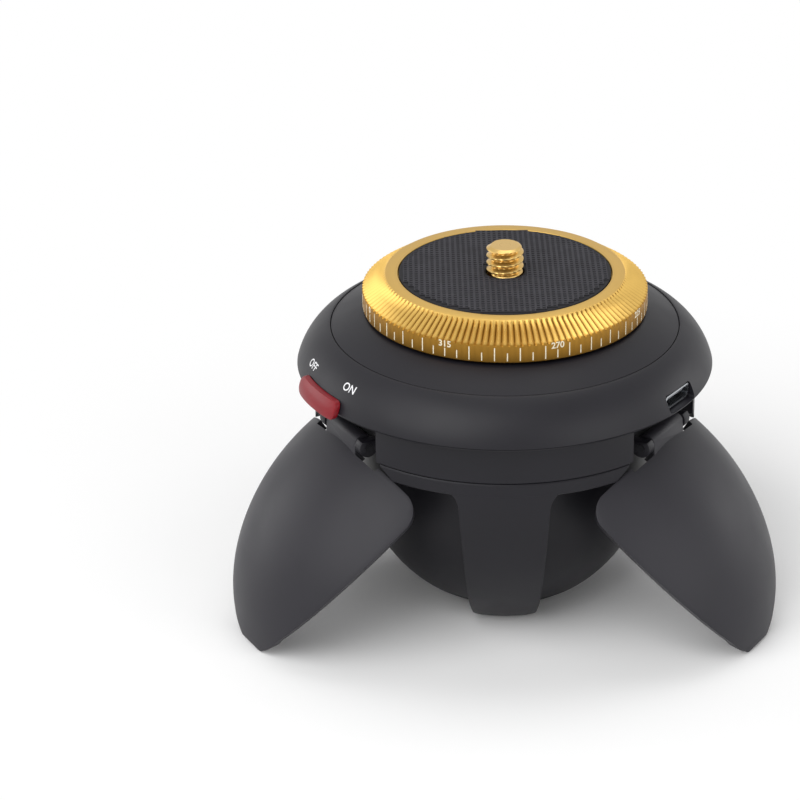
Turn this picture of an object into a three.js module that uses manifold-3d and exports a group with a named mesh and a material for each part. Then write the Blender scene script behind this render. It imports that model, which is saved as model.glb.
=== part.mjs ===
// Motorised pan head with a gold degree dial, a saucer body, a ball shaped battery housing
// and three petal legs that fold against it. Millimetres, +Z up. Heights are measured from
// the underside of the base, and the finished group is lowered onto the tips of the legs.
import * as THREE from 'three';
import { mergeVertices } from 'three/addons/utils/BufferGeometryUtils.js';
import Module from 'manifold-3d';

const wasm = await Module();
wasm.setup();

// Fits and finishes
const cutOverrun = 1;
const turnedGap = 0.3;
const pinGap = 0.1;
const boreGap = 0.05;
const cornerMerge = 0.0001;
const roundSides = 36;
const mediumSides = 20;
const smallSides = 10;

// Ball shaped lower housing
const ballRadius = 25.36;
const ballWall = 1.96;
const ballCentreHeight = 21.8;
const baseThickness = 2.2;
const ballFloorThickness = 1.8;

// Leg frame: base disc, three ribs and the flange that the body sits on
const frameTop = 33.7;
const flangeThickness = 1;
const flangeRadius = 33;
const flangeBore = 20.8;
const skirtWall = 0.9;
const skirtEdge = 0.3;
const skirtHeight = 2.5;
const skirtEndHalfTop = 11.5;
const skirtEndHalfBottom = 14.5;
const ribTopHalf = 7.6;
const ribMidHalf = 7.2;
const ribLowHalf = 6;
const ribFootHalf = 5.5;
const ribToeHalf = 3.9;
const ribMidHeight = 22;
const ribLowHeight = 5;
const ribToeHeight = 1.5;
const ribFillet = 4.5;
const ribDepthRadius = 38.15;
const ballGap = 0.3;

// Tripod socket in the base
const insertRadius = 4.2;
const insertHeight = 8;
const socketRadius = 3.1;
const socketBossWall = 2;

// Lower part of the body: collar, lip, leg pockets
const seamGap = 0.1;
const housingFloorThickness = 1.2;
const housingFloorBore = 22;
const collarRadius = flangeRadius;
const collarWall = 1.8;
const collarHeight = 6;
const lipOverhang = 2.5;
const lipRadius = collarRadius + lipOverhang;
const lipHeight = 7.8;
const lipEdge = 0.4;
const pocketHalf = 10.9;
const pocketBehindHinge = 3;
const pocketHeight = 6.2;
const pocketWall = 1.2;

// Rim and top cover
const rimArcRadius = 11;
const rimOverhang = 0.74;
const rimArcCentreRadius = lipRadius + rimOverhang - rimArcRadius;
const rimArcCentreDrop = 2.7;
const rimWall = 1.8;
const coverEdgeRise = 7;
const coverLandRise = 9.8;
const coverLandRadius = 24.4;
const coverWall = 1.8;
const coverEdgeHeight = 1.4;
const coverLedge = 1.6;
const coverFit = 0.15;

// Turntable: dial, pad, camera screw and hub
const dialGap = 0.5;
const dialRadius = 24.45;
const dialBandHeight = 3.5;
const knurlInnerRadius = 20.4;
const knurlRise = 2.55;
const knurlCount = 136;
const knurlDepth = 0.38;
const dialWall = 3.85;
const dialPlateThickness = 2.2;
const padRadius = 18.2;
const padFit = 0.15;
const padThickness = 1.2;
const padProud = 0.25;
const threadRadius = 3.175;
const threadPitch = 1.27;
const threadDepth = 0.78;
const screwProud = 4.6;
const screwNeckRadius = 2.35;
const screwNeckLength = 0.7;
const screwTip = 0.6;
const screwHeadRadius = 5.2;
const screwHeadThickness = 1.8;
const hubFlangeRadius = 19.5;
const hubBarrelRadius = 14.2;
const hubLength = 7.6;
const hubFlangeThickness = 2.5;
const spindleRadius = 3;
const spindleDepthInHub = 4.4;
const spindleTail = 2.4;
const clipRadius = 4.6;
const clipThickness = 0.6;
const hubScrewCircle = 9.5;
const hubScrewBite = 1.5;

// Gear train and its plate
const gearPlateThickness = 1.6;
const gearPlateInset = 2;
const gearPlateRadius = collarRadius - collarWall - gearPlateInset;
const outputTeeth = 48;
const idlerSmallTeeth = 12;
const outputModule = 0.6;
const idlerBigTeeth = 30;
const pinionTeeth = 10;
const pinionModule = 0.5;
const lowerGearHeight = 1.3;
const upperGearHeight = 2;
const gearDeckGap = 0.3;
const gearFloorGap = 1;
const outputBossRadius = 5;
const washerThickness = 0.6;
const washerRadius = 5.6;
const bushWall = 0.8;
const bushFlange = 2;
const bushFlangeThickness = 0.4;
const bushBossWall = 0.9;
const bushBossHeight = 3;
const idlerPolar = 90;
const idlerPinRadius = 1;
const idlerPinProud = 0.8;

// Motor
const motorPolarRadius = 12.2;
const motorRadius = 7.5;
const motorLength = 16;
const motorSpigotRadius = 2.2;
const motorShaftRadius = 0.75;
const motorShaftDepth = 4;
const motorScrewCircle = 5.2;

// Battery and its cradle
const batteryThickness = 6;
const batteryWidth = 20;
const batteryHeight = 28;
const batteryRadius = 1.5;
const batteryOffset = 12;
const cradleWall = 1;
const cradleBase = 3;
const cradleHeight = 10.5;
const cradleFit = 0.25;

// Petal legs and their hinges
const petalInset = 1.4;
const petalRadius = flangeRadius - skirtWall - petalInset;
const petalHalfHeight = 36.3;
const petalCentreHeight = 30.2;
const petalWall = 2.1;
const petalFootHeight = -2.2;
const petalSideDistance = 9.9;
const petalShoulder = 4;
const petalFootHalf = 3.4;
const petalFootRise = 3.2;
const hingeInset = 0.1;
const hingeRadius = petalRadius - hingeInset;
const pocketDepthRadius = hingeRadius - pocketBehindHinge;
const legPlateRadius = pocketDepthRadius + turnedGap;
const hingeRise = 1.2;
const openAngle = 53.5;
const barrelRadius = 1.6;
const barrelHalf = 5.3;
const pinRadius = 0.75;
const pinHalf = 7.5;
const lugInner = 5.6;
const lugOuter = 7.4;
const lugRadius = 1.7;
const lugHeight = 2.2;
const notchOuter = 10.6;
const notchDepth = 0.9;
const legPolars = [210, 330, 90];
const legNames = ['leg_left', 'leg_right', 'leg_rear'];
const ribPolars = [270, 30, 150];

// Slide switch
const switchPolar = 209;
const switchLength = 14;
const switchHeight = 3.6;
const switchGap = 0.15;
const switchProud = 1.15;
const switchTravel = 3;
const switchRise = 1.25;
const stemHalf = 1.5;
const stemHeight = 1.6;
const stemReach = 0.2;
const stemTip = gearPlateRadius + stemReach;
const slotGap = 0.3;
const switchBodyWall = 2.2;
const switchBodyOverhang = 1.4;
const switchBodyOuter = gearPlateRadius + switchBodyOverhang;
const switchBodyHeight = 2.6;

// Charging socket, circuit board and remote receiver
const socketPolar = 327;
const usbWidth = 7.5;
const usbHeight = 2.45;
const usbDepth = 4.7;
const usbRecess = 0.9;
const usbGap = 0.25;
const usbWall = 0.3;
const usbRise = 1.6;
const usbTongueShare = 0.4;
const boardThickness = 1;
const boardWidth = 10.9;
const boardOuter = gearPlateRadius - turnedGap;
const boardInner = boardOuter - boardWidth;
const boardStart = 288;
const boardEnd = 345;
const boardTongueHalf = 5.6;
const boardTongue = 2.7;
const boardTongueRadius = boardOuter + boardTongue;
const receiverPolar = 303;
const receiverInset = 3.4;
const receiverRadius = boardOuter - receiverInset;
const receiverWidth = 5;
const receiverDepth = 2.6;
const receiverHeight = 5;
const receiverLens = 1.3;

// Screws
const housingScrewRadius = 0.95;
const housingScrewHead = 1.9;
const housingScrewHeadHeight = 1.6;
const housingScrewLength = 10.6;
const housingScrewInset = 4;
const housingScrewPolar = gearPlateRadius - housingScrewInset;
const housingScrewSide = -4;
const screwBossRadius = 2.4;
const sleeveRadius = 3.2;
const sleeveShoulder = 2.6;
const frameScrewInset = 4.4;
const frameScrewPolar = flangeRadius - frameScrewInset;
const frameScrewSide = 4.5;
const frameScrewLength = 7;
const smallScrewRadius = 0.9;
const smallScrewHead = 1.7;
const smallScrewHeadHeight = 1.2;
const motorScrewRadius = 0.7;
const motorScrewHead = 1.3;
const motorScrewHeadHeight = 0.6;
const motorScrewLength = 3.2;

// Heights that follow from the sizes above
const ballTop = frameTop - flangeThickness;
const ballFoot = baseThickness + ballGap;
const ballFloor = ballFoot + ballFloorThickness;
const housingBottom = frameTop + seamGap;
const petalTop = housingBottom - turnedGap;
const housingFloorTop = housingBottom + housingFloorThickness;
const hingeHeight = frameTop + hingeRise;
const pocketTop = housingBottom + pocketHeight;
const gearPlateBottom = pocketTop + 0.8 * pocketWall;
const gearPlateTop = gearPlateBottom + gearPlateThickness;
const rimBottom = housingBottom + lipHeight;
const coverEdgeTop = rimBottom + coverEdgeRise;
const coverLandTop = rimBottom + coverLandRise;
const dialBottom = coverLandTop + dialGap;
const dialBandTop = dialBottom + dialBandHeight;
const dialTop = dialBandTop + knurlRise;
const padTop = dialTop + padProud;
const padBottom = padTop - padThickness;
const dialPlateBottom = padBottom - dialPlateThickness;
const hubBottom = dialPlateBottom - hubLength;
const lowerGearBottom = gearPlateTop + gearFloorGap;
const upperGearBottom = lowerGearBottom + lowerGearHeight + gearDeckGap;
const washerBottom = gearPlateTop + bushFlangeThickness;
const washerTop = washerBottom + washerThickness;
const screwTop = padTop + screwProud;
const rimArcCentre = rimBottom - rimArcCentreDrop;

// Tools of the workshop

function degrees(angle) {
  return THREE.MathUtils.degToRad(angle);
}

function circleHeight(radius, offset) {
  return Math.sqrt(Math.max(radius * radius - offset * offset, 0));
}

function arc(centreX, centreY, radius, start, end, steps) {
  return Array.from({ length: steps + 1 }, (unused, step) => {
    const angle = degrees(start + (end - start) * step / steps);
    return [centreX + radius * Math.cos(angle), centreY + radius * Math.sin(angle)];
  });
}

function roundedOutline(halfWidth, halfHeight, radius, steps) {
  const x = halfWidth - radius;
  const y = halfHeight - radius;
  return [
    ...arc(x, y, radius, 0, 90, steps),
    ...arc(-x, y, radius, 90, 180, steps),
    ...arc(-x, -y, radius, 180, 270, steps),
    ...arc(x, -y, radius, 270, 360, steps),
  ];
}

function signedVolume(positions, index) {
  const corner = [new THREE.Vector3(), new THREE.Vector3(), new THREE.Vector3()];
  let volume = 0;
  for (let i = 0; i < index.length; i += 3) {
    corner.forEach((point, k) => point.fromArray(positions, 3 * index[i + k]));
    volume += corner[0].dot(corner[1].cross(corner[2])) / 6;
  }
  return volume;
}

// A closed mesh as a solid that can be cut and joined, with its faces pointing out.
function solid(geometry) {
  const bare = new THREE.BufferGeometry();
  bare.setAttribute('position', geometry.getAttribute('position'));
  bare.setIndex(geometry.getIndex());
  const merged = mergeVertices(bare, cornerMerge);
  const index = merged.getIndex().array;
  const positions = merged.getAttribute('position').array;
  const triangles = [];
  for (let i = 0; i < index.length; i += 3) {
    const [a, b, c] = [index[i], index[i + 1], index[i + 2]];
    if (a !== b && b !== c && c !== a) {
      triangles.push(a, b, c);
    }
  }
  if (signedVolume(positions, triangles) < 0) {
    triangles.reverse();
  }
  return new wasm.Manifold(new wasm.Mesh({
    numProp: 3,
    vertProperties: new Float32Array(positions),
    triVerts: new Uint32Array(triangles),
  }));
}

function geometryOf(body) {
  const mesh = body.getMesh();
  const geometry = new THREE.BufferGeometry();
  geometry.setAttribute('position', new THREE.BufferAttribute(mesh.vertProperties, 3));
  geometry.setIndex(new THREE.BufferAttribute(mesh.triVerts, 1));
  geometry.computeVertexNormals();
  return geometry;
}

// A turned body: the profile holds [radius, height] corners round its section.
function turned(profile, sides) {
  const onAxis = profile[0][0] === 0 && profile.at(-1)[0] === 0;
  const corners = onAxis ? profile : [...profile, profile[0]];
  const points = corners.map(([radius, height]) => new THREE.Vector2(radius, height));
  return new THREE.LatheGeometry(points, sides).rotateX(degrees(90));
}

// A turned body whose rows can differ round the axis: each row has a number of corners and
// gives the radius and height of each. It closes on the axis, or from its last row to its first.
function rowStack(rows, closesOnAxis) {
  const positions = [];
  const starts = rows.map(({ count, cornerAt }) => {
    const start = positions.length / 3;
    for (let corner = 0; corner < count; corner += 1) {
      const [radius, height] = cornerAt(corner);
      const angle = degrees(360 * corner / count);
      positions.push(radius * Math.cos(angle), radius * Math.sin(angle), height);
    }
    return start;
  });
  const index = [];
  const strip = (low, high) => {
    const [countLow, countHigh] = [rows[low].count, rows[high].count];
    let [stepLow, stepHigh] = [0, 0];
    while (stepLow < countLow || stepHigh < countHigh) {
      const a = starts[low] + stepLow % countLow;
      const b = starts[high] + stepHigh % countHigh;
      if ((stepLow + 1) * countHigh <= (stepHigh + 1) * countLow) {
        stepLow += 1;
        index.push(a, starts[low] + stepLow % countLow, b);
      } else {
        stepHigh += 1;
        index.push(a, starts[high] + stepHigh % countHigh, b);
      }
    }
  };
  rows.slice(1).forEach((row, low) => strip(low, low + 1));
  if (closesOnAxis) {
    [[0, 1], [rows.length - 1, -1]].forEach(([row, turn]) => {
      const centre = positions.length / 3;
      positions.push(0, 0, rows[row].cornerAt(0)[1]);
      for (let corner = 0; corner < rows[row].count; corner += 1) {
        const next = starts[row] + (corner + 1) % rows[row].count;
        const pair = [starts[row] + corner, next];
        index.push(centre, ...(turn > 0 ? pair.reverse() : pair));
      }
    });
  } else {
    strip(rows.length - 1, 0);
  }
  const geometry = new THREE.BufferGeometry();
  geometry.setAttribute('position', new THREE.Float32BufferAttribute(positions, 3));
  geometry.setIndex(index);
  return geometry;
}

function plainRow(count, radius, height) {
  return { count, cornerAt: () => [radius, height] };
}

function ring(inner, outer, bottom, top, sides) {
  return turned([[inner, bottom], [outer, bottom], [outer, top], [inner, top]], sides);
}

function rod(radius, bottom, top, sides, x = 0, y = 0) {
  return turned([[0, bottom], [radius, bottom], [radius, top], [0, top]], sides).translate(x, y, 0);
}

// An outline in x and y, raised from one height to another.
function prism(outline, bottom, top) {
  const shape = new THREE.Shape(outline.map(([x, y]) => new THREE.Vector2(x, y)));
  return new THREE.ExtrudeGeometry(shape, { depth: top - bottom, bevelEnabled: false })
    .translate(0, 0, bottom);
}

function box(x0, x1, y0, y1, z0, z1) {
  return prism([[x0, y0], [x1, y0], [x1, y1], [x0, y1]], z0, z1);
}

// An outline across the radius (side, height), run outwards along +X.
function outwardPrism(outline, inner, outer) {
  const axes = new THREE.Matrix4().makeBasis(
    new THREE.Vector3(0, 1, 0),
    new THREE.Vector3(0, 0, 1),
    new THREE.Vector3(1, 0, 0),
  );
  return prism(outline, inner, outer).applyMatrix4(axes);
}

// An outline along the radius (radius, height), run sideways along Y.
function sidePrism(outline, start, end) {
  const axes = new THREE.Matrix4().makeBasis(
    new THREE.Vector3(1, 0, 0),
    new THREE.Vector3(0, 0, 1),
    new THREE.Vector3(0, -1, 0),
  );
  return prism(outline, -end, -start).applyMatrix4(axes);
}

function sideRod(radius, x, z, start, end, sides) {
  return sidePrism(arc(x, z, radius, 0, 360 - 360 / sides, sides - 1), start, end);
}

function polar(geometry, angle) {
  return geometry.rotateZ(degrees(angle));
}

function around(angles, make) {
  return angles.map((angle) => polar(make(), angle));
}

function cut(body, geometries) {
  return geometries.reduce((rest, geometry) => rest.subtract(solid(geometry)), body);
}

function join(body, geometries) {
  return geometries.reduce((rest, geometry) => rest.add(solid(geometry)), body);
}

function screw(headRadius, headHeight, shankRadius, length) {
  return turned([
    [0, 0],
    [shankRadius, 0],
    [shankRadius, length],
    [headRadius, length],
    [headRadius, length + headHeight],
    [0, length + headHeight],
  ], smallSides);
}

// A spur gear outline with one tooth centred on the given angle.
function gearOutline(teeth, size, toothAngle) {
  const pitchRadius = teeth * size / 2;
  const pitchAngle = 360 / teeth;
  const flankShares = [[-1.2, -0.35], [0.95, -0.1], [0.95, 0.1], [-1.2, 0.35]];
  return Array.from({ length: teeth }, (unused, tooth) => flankShares.map(([depth, side]) => {
    const radius = pitchRadius + depth * size;
    const angle = degrees(toothAngle + (tooth + side) * pitchAngle);
    return [radius * Math.cos(angle), radius * Math.sin(angle)];
  })).flat();
}

// Outline of the rim, at a distance out from its true surface
function rimRadiusAt(height, offset) {
  return rimArcCentreRadius + circleHeight(rimArcRadius + offset, height - rimArcCentre);
}

function rimArc(offset, bottom, top, steps) {
  return Array.from({ length: steps + 1 }, (unused, step) => {
    const height = bottom + (top - bottom) * step / steps;
    return [rimRadiusAt(height, offset), height];
  });
}

const model = new THREE.Group();

function add(name, body, color, roughness, metalness, parent = model) {
  const material = new THREE.MeshStandardMaterial({ color, roughness, metalness });
  const mesh = new THREE.Mesh(geometryOf(body), material);
  mesh.name = name;
  parent.add(mesh);
  return mesh;
}

const black = [0x2b2b2e, 0.55, 0];
const gold = [0xd9a441, 0.32, 1];
const steel = [0xb4b7bb, 0.3, 1];
const brass = [0xc7a252, 0.35, 1];
const rubber = [0x1f2022, 0.9, 0];
const whitePlastic = [0xe4e2da, 0.5, 0];

// Positions of the screws that sit beside each rib
function besideRib(ribAngle, radius, side) {
  return new THREE.Vector2(radius, side).rotateAround(new THREE.Vector2(), degrees(ribAngle));
}

// Ball housing: a hollow sphere, cut flat on the base and open at the flange
function makeBall() {
  const inner = ballRadius - ballWall;
  const steps = 5;
  const heightAt = (bottom, step) => bottom + (ballTop - bottom) * step / steps;
  const outline = [];
  for (let step = 0; step <= steps; step += 1) {
    const height = heightAt(ballFoot, step);
    outline.push([circleHeight(ballRadius, height - ballCentreHeight), height]);
  }
  for (let step = steps; step >= 0; step -= 1) {
    const height = heightAt(ballFloor, step);
    outline.push([circleHeight(inner, height - ballCentreHeight), height]);
  }
  const hole = insertRadius + socketBossWall + turnedGap;
  outline.push([hole, ballFloor], [hole, ballFoot]);
  return solid(turned(outline, roundSides));
}

// Leg frame: a flange, three ribs that follow the ball, and a base disc
function ribOutline() {
  const filletBottom = ballTop - ribFillet;
  const half = [
    [ribToeHalf, 0],
    [ribFootHalf, ribToeHeight],
    [ribLowHalf, ribLowHeight],
    [ribMidHalf, ribMidHeight],
    [ribTopHalf, filletBottom],
    ...arc(ribTopHalf + ribFillet, filletBottom, ribFillet, 180, 90, 5).slice(1),
    [ribTopHalf + ribFillet, frameTop - flangeThickness / 2],
  ];
  return [...half, ...half.map(([x, z]) => [-x, z]).reverse()];
}

function ribBody() {
  const steps = 6;
  const top = frameTop - flangeThickness / 2;
  const outer = [];
  const inner = [];
  for (let step = 0; step <= steps; step += 1) {
    const height = top * step / steps;
    const aboveBase = baseThickness + (top - baseThickness) * step / steps;
    const share = circleHeight(ribDepthRadius, height - ballTop) / ribDepthRadius;
    outer.push([flangeRadius * share, height]);
    inner.unshift([circleHeight(ballRadius + ballGap, aboveBase - ballCentreHeight), aboveBase]);
  }
  const joint = ballRadius / 2;
  return solid(turned([...outer, ...inner, [joint, baseThickness], [joint, 0]], roundSides));
}

function makeFrame() {
  const skirtBottom = frameTop - skirtHeight;
  const flange = turned([
    [flangeBore, ballTop],
    [flangeRadius - skirtWall, ballTop],
    [flangeRadius - skirtWall, skirtBottom + 2 * skirtEdge],
    [flangeRadius - skirtWall + skirtEdge, skirtBottom],
    [flangeRadius - skirtEdge, skirtBottom],
    [flangeRadius, skirtBottom + skirtEdge],
    [flangeRadius, frameTop],
    [flangeBore, frameTop],
  ], roundSides);
  const slope = (skirtEndHalfBottom - skirtEndHalfTop) / skirtHeight;
  const skirtEnd = (height) => skirtEndHalfTop + slope * (frameTop - height);
  const skirtCut = [[skirtBottom - cutOverrun, -1], [frameTop + cutOverrun, -1],
    [frameTop + cutOverrun, 1], [skirtBottom - cutOverrun, 1]]
    .map(([height, side]) => [side * skirtEnd(height), height]);
  const legSector = around(legPolars, () => outwardPrism(skirtCut, legPlateRadius, flangeRadius + cutOverrun));
  let body = cut(solid(flange), legSector);
  const ribs = ribBody();
  around(ribPolars, () => outwardPrism(ribOutline(), 0, flangeRadius + cutOverrun)).forEach((rib) => {
    body = body.add(ribs.intersect(solid(rib)));
  });
  const roomBottom = ballTop - 1.5 * ribFillet;
  const roomTop = frameTop + cutOverrun;
  const ribHalf = petalSideDistance - petalWall / 2;
  const petalRoom = ring(legPlateRadius, flangeRadius - skirtWall, roomBottom, roomTop, roundSides);
  const besideRibs = around(ribPolars, () => box(0, flangeRadius, -ribHalf, ribHalf, roomBottom, roomTop));
  body = body.subtract(cut(solid(petalRoom), besideRibs));
  const sphereAt = (height) => circleHeight(ballRadius, height - ballCentreHeight);
  const base = turned([
    [0, 0],
    [sphereAt(0), 0],
    [sphereAt(baseThickness), baseThickness],
    [0, baseThickness],
  ], roundSides);
  const bossRadius = insertRadius + socketBossWall;
  const boss = rod(bossRadius, baseThickness / 2, insertHeight + turnedGap, mediumSides);
  body = join(body, [base, boss]);
  const pilots = ribPolars.map((angle) => {
    const { x, y } = besideRib(angle, frameScrewPolar, frameScrewSide);
    const depth = frameScrewLength + turnedGap;
    return rod(smallScrewRadius + pinGap, housingFloorTop - depth, frameTop + cutOverrun, smallSides, x, y);
  });
  const bore = rod(insertRadius + boreGap, -cutOverrun, insertHeight + cutOverrun, mediumSides);
  return cut(body, [bore, ...pilots]);
}

function makeInsert() {
  const chamfer = 0.4 * (insertRadius - socketRadius);
  return solid(turned([
    [socketRadius, 0],
    [insertRadius - chamfer, 0],
    [insertRadius, chamfer],
    [insertRadius, insertHeight],
    [socketRadius, insertHeight],
  ], mediumSides));
}

// Lower part of the body, with three pockets for the hinges
function makeHousing() {
  const collarTop = housingBottom + collarHeight;
  const filletWidth = lipRadius - lipEdge / 2 - collarRadius;
  const filletHeight = rimBottom - lipEdge - collarTop;
  const fillet = arc(0, 0, 1, 0, 90, 3).map(([across, up]) => [
    collarRadius + filletWidth * (1 - across),
    collarTop + filletHeight * up,
  ]);
  const inner = collarRadius - collarWall;
  const lipInner = collarRadius - 0.2 * collarWall;
  const shell = turned([
    [collarRadius, housingBottom],
    ...fillet,
    [lipRadius, rimBottom - lipEdge],
    [lipRadius, rimBottom],
    [lipInner, rimBottom],
    [lipInner, rimBottom - 0.15 * lipHeight],
    [inner, rimBottom - 0.35 * lipHeight],
    [inner, housingFloorTop],
    [housingFloorBore, housingFloorTop],
    [housingFloorBore, housingBottom],
  ], roundSides);
  const wallHalf = pocketHalf + pocketWall;
  const room = solid(rod(collarRadius - collarWall / 2, housingBottom, gearPlateBottom, roundSides));
  let body = solid(shell);
  around(legPolars, () => box(
    pocketDepthRadius - pocketWall,
    collarRadius,
    -wallHalf,
    wallHalf,
    housingBottom,
    gearPlateBottom,
  )).forEach((block) => {
    body = body.add(room.intersect(solid(block)));
  });
  body = cut(body, around(legPolars, () => box(
    pocketDepthRadius,
    lipRadius + cutOverrun,
    -pocketHalf,
    pocketHalf,
    housingBottom - cutOverrun,
    pocketTop,
  )));
  const lugBottom = housingBottom;
  const lugOutline = [
    [pocketDepthRadius - pocketWall / 2, lugBottom],
    [hingeRadius - lugRadius, lugBottom],
    ...arc(hingeRadius, hingeHeight, lugRadius, 180, 405, 6),
    [hingeRadius, lugBottom + lugHeight],
    [pocketDepthRadius - pocketWall / 2, lugBottom + lugHeight],
  ];
  [[lugInner, lugOuter], [-lugOuter, -lugInner]].forEach(([start, end]) => {
    body = join(body, around(legPolars, () => sidePrism(lugOutline, start, end)));
  });
  const pinHole = pinRadius + pinGap;
  body = cut(body, around(legPolars, () => (
    sideRod(pinHole, hingeRadius, hingeHeight, -lugOuter - cutOverrun, lugOuter + cutOverrun, smallSides))));
  ribPolars.forEach((angle) => {
    const post = besideRib(angle, housingScrewPolar, housingScrewSide);
    const small = besideRib(angle, frameScrewPolar, frameScrewSide);
    const shoulder = housingBottom + sleeveShoulder;
    body = join(body, [rod(sleeveRadius, housingBottom, gearPlateBottom, smallSides, post.x, post.y)]);
    body = cut(body, [
      rod(housingScrewHead + pinGap, housingBottom - cutOverrun, shoulder, smallSides, post.x, post.y),
      rod(housingScrewRadius + pinGap, shoulder, gearPlateBottom + cutOverrun, smallSides, post.x, post.y),
      rod(smallScrewRadius + pinGap, housingBottom - cutOverrun, housingFloorTop + cutOverrun, smallSides,
        small.x, small.y),
    ]);
  });
  return body;
}

// Rim: the rounded outer wall of the saucer, with the switch slot and the charging recess
function makeRim() {
  const ledgeTop = coverEdgeTop - coverEdgeHeight;
  const opening = rimRadiusAt(coverEdgeTop, 0);
  const innerTop = ledgeTop - 0.7 * coverLedge;
  const shell = turned([
    ...rimArc(0, rimBottom, coverEdgeTop, 6),
    [opening - 0.001 * rimWall, coverEdgeTop],
    [opening - 0.001 * rimWall, ledgeTop],
    [opening - coverLedge, ledgeTop],
    [opening - coverLedge, innerTop],
    ...rimArc(-rimWall, rimBottom, innerTop - 0.5 * coverLedge, 3).reverse(),
  ], roundSides);
  const slotHalf = stemHeight / 2 + slotGap;
  const centre = rimBottom + switchRise;
  const slot = outwardPrism([
    [stemHalf + slotGap, centre - slotHalf],
    [stemHalf + slotGap, centre + slotHalf],
    [-stemHalf - switchTravel - slotGap, centre + slotHalf],
    [-stemHalf - switchTravel - slotGap, centre - slotHalf],
  ], stemTip, lipRadius + switchProud + cutOverrun);
  const usbCentre = rimBottom + usbRise;
  const usbCut = roundedOutline(usbWidth / 2 + usbGap, usbHeight / 2 + usbGap, usbHeight / 4, 3)
    .map(([side, height]) => [side, usbCentre + height]);
  return cut(solid(shell), [
    polar(slot, switchPolar),
    polar(outwardPrism(usbCut, stemTip, lipRadius + cutOverrun), socketPolar),
  ]);
}

// Top cover: a flat land under the dial and a slope down to the rim
function makeCover() {
  const edge = rimRadiusAt(coverEdgeTop, 0) - coverFit;
  const ledgeTop = coverEdgeTop - coverEdgeHeight;
  const hole = hubBarrelRadius + dialGap;
  const landBottom = coverLandTop - coverWall;
  const cover = turned([
    [hole, coverLandTop],
    [coverLandRadius, coverLandTop],
    [edge, coverEdgeTop],
    [edge, ledgeTop],
    [edge - coverLedge, ledgeTop],
    [coverLandRadius, landBottom],
    [hole, landBottom],
  ], roundSides);
  let body = solid(cover);
  ribPolars.forEach((angle) => {
    const { x, y } = besideRib(angle, housingScrewPolar, housingScrewSide);
    const depth = housingBottom + sleeveShoulder + housingScrewLength + turnedGap;
    body = join(body, [rod(screwBossRadius, gearPlateTop, coverLandTop - coverWall, smallSides, x, y)]);
    body = cut(body, [rod(housingScrewRadius + pinGap, gearPlateTop - cutOverrun, depth, smallSides, x, y)]);
  });
  return body;
}

// Dial: a gold ring with a degree band, a knurled cone and a recess for the pad
function makeDial() {
  const plateHole = threadRadius + pinGap;
  const recess = padRadius + padFit;
  const cavity = dialRadius - dialWall;
  const edge = 0.08 * dialWall;
  const sides = knurlCount / 2;
  const slope = Math.atan2(knurlRise, dialRadius - knurlInnerRadius);
  const knurlRow = (radius, height) => ({
    count: 2 * knurlCount,
    cornerAt: (corner) => {
      const depth = knurlDepth * (corner % 2);
      return [radius - depth * Math.sin(slope), height - depth * Math.cos(slope)];
    },
  });
  const body = solid(rowStack([
    plainRow(mediumSides, plateHole, dialPlateBottom),
    plainRow(sides, cavity, dialPlateBottom),
    plainRow(sides, cavity, dialBottom),
    plainRow(sides, dialRadius - edge, dialBottom),
    plainRow(sides, dialRadius, dialBottom + edge),
    knurlRow(dialRadius, dialBandTop),
    knurlRow(knurlInnerRadius, dialTop),
    plainRow(sides, recess, dialTop),
    plainRow(sides, recess, padBottom),
    plainRow(mediumSides, plateHole, padBottom),
  ], false));
  const hole = (angle) => polar(rod(
    smallScrewRadius + pinGap,
    dialPlateBottom - cutOverrun,
    dialPlateBottom + hubScrewBite + pinGap,
    smallSides,
    hubScrewCircle,
    0,
  ), angle);
  return cut(body, hubScrewAngles().map(hole));
}

function hubScrewAngles() {
  return [60, 180, 300];
}

function makePad() {
  return solid(ring(threadRadius + 2 * pinGap, padRadius, padBottom, padTop, roundSides));
}

// Camera screw: a head under the dial plate, a thinner neck and a cut thread
function makeCameraScrew() {
  const columns = 16;
  const neckTop = padTop + screwNeckLength;
  const root = threadRadius - threadDepth;
  const threadRows = Math.round(6 * (screwTop - neckTop) / threadPitch);
  const threadRow = (row) => {
    const height = neckTop + (screwTop - neckTop) * row / threadRows;
    const runIn = Math.min(1, (height - neckTop) / (threadPitch / 2));
    const tipRadius = root - 0.15 * threadDepth + (screwTop - height) * threadDepth * 1.2 / screwTip;
    return {
      count: columns,
      cornerAt: (corner) => {
        const turns = height / threadPitch - corner / columns;
        const phase = turns - Math.floor(turns);
        const crestShare = Math.min(1, Math.max(0, 1.25 * (1 - Math.abs(2 * phase - 1)) - 0.1));
        return [Math.min(root + threadDepth * crestShare * runIn, tipRadius), height];
      },
    };
  };
  return solid(rowStack([
    plainRow(columns, screwHeadRadius, dialPlateBottom - screwHeadThickness),
    plainRow(columns, screwHeadRadius, dialPlateBottom),
    plainRow(columns, screwNeckRadius, dialPlateBottom),
    ...Array.from({ length: threadRows + 1 }, (unused, row) => threadRow(row)),
  ], true));
}

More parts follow.
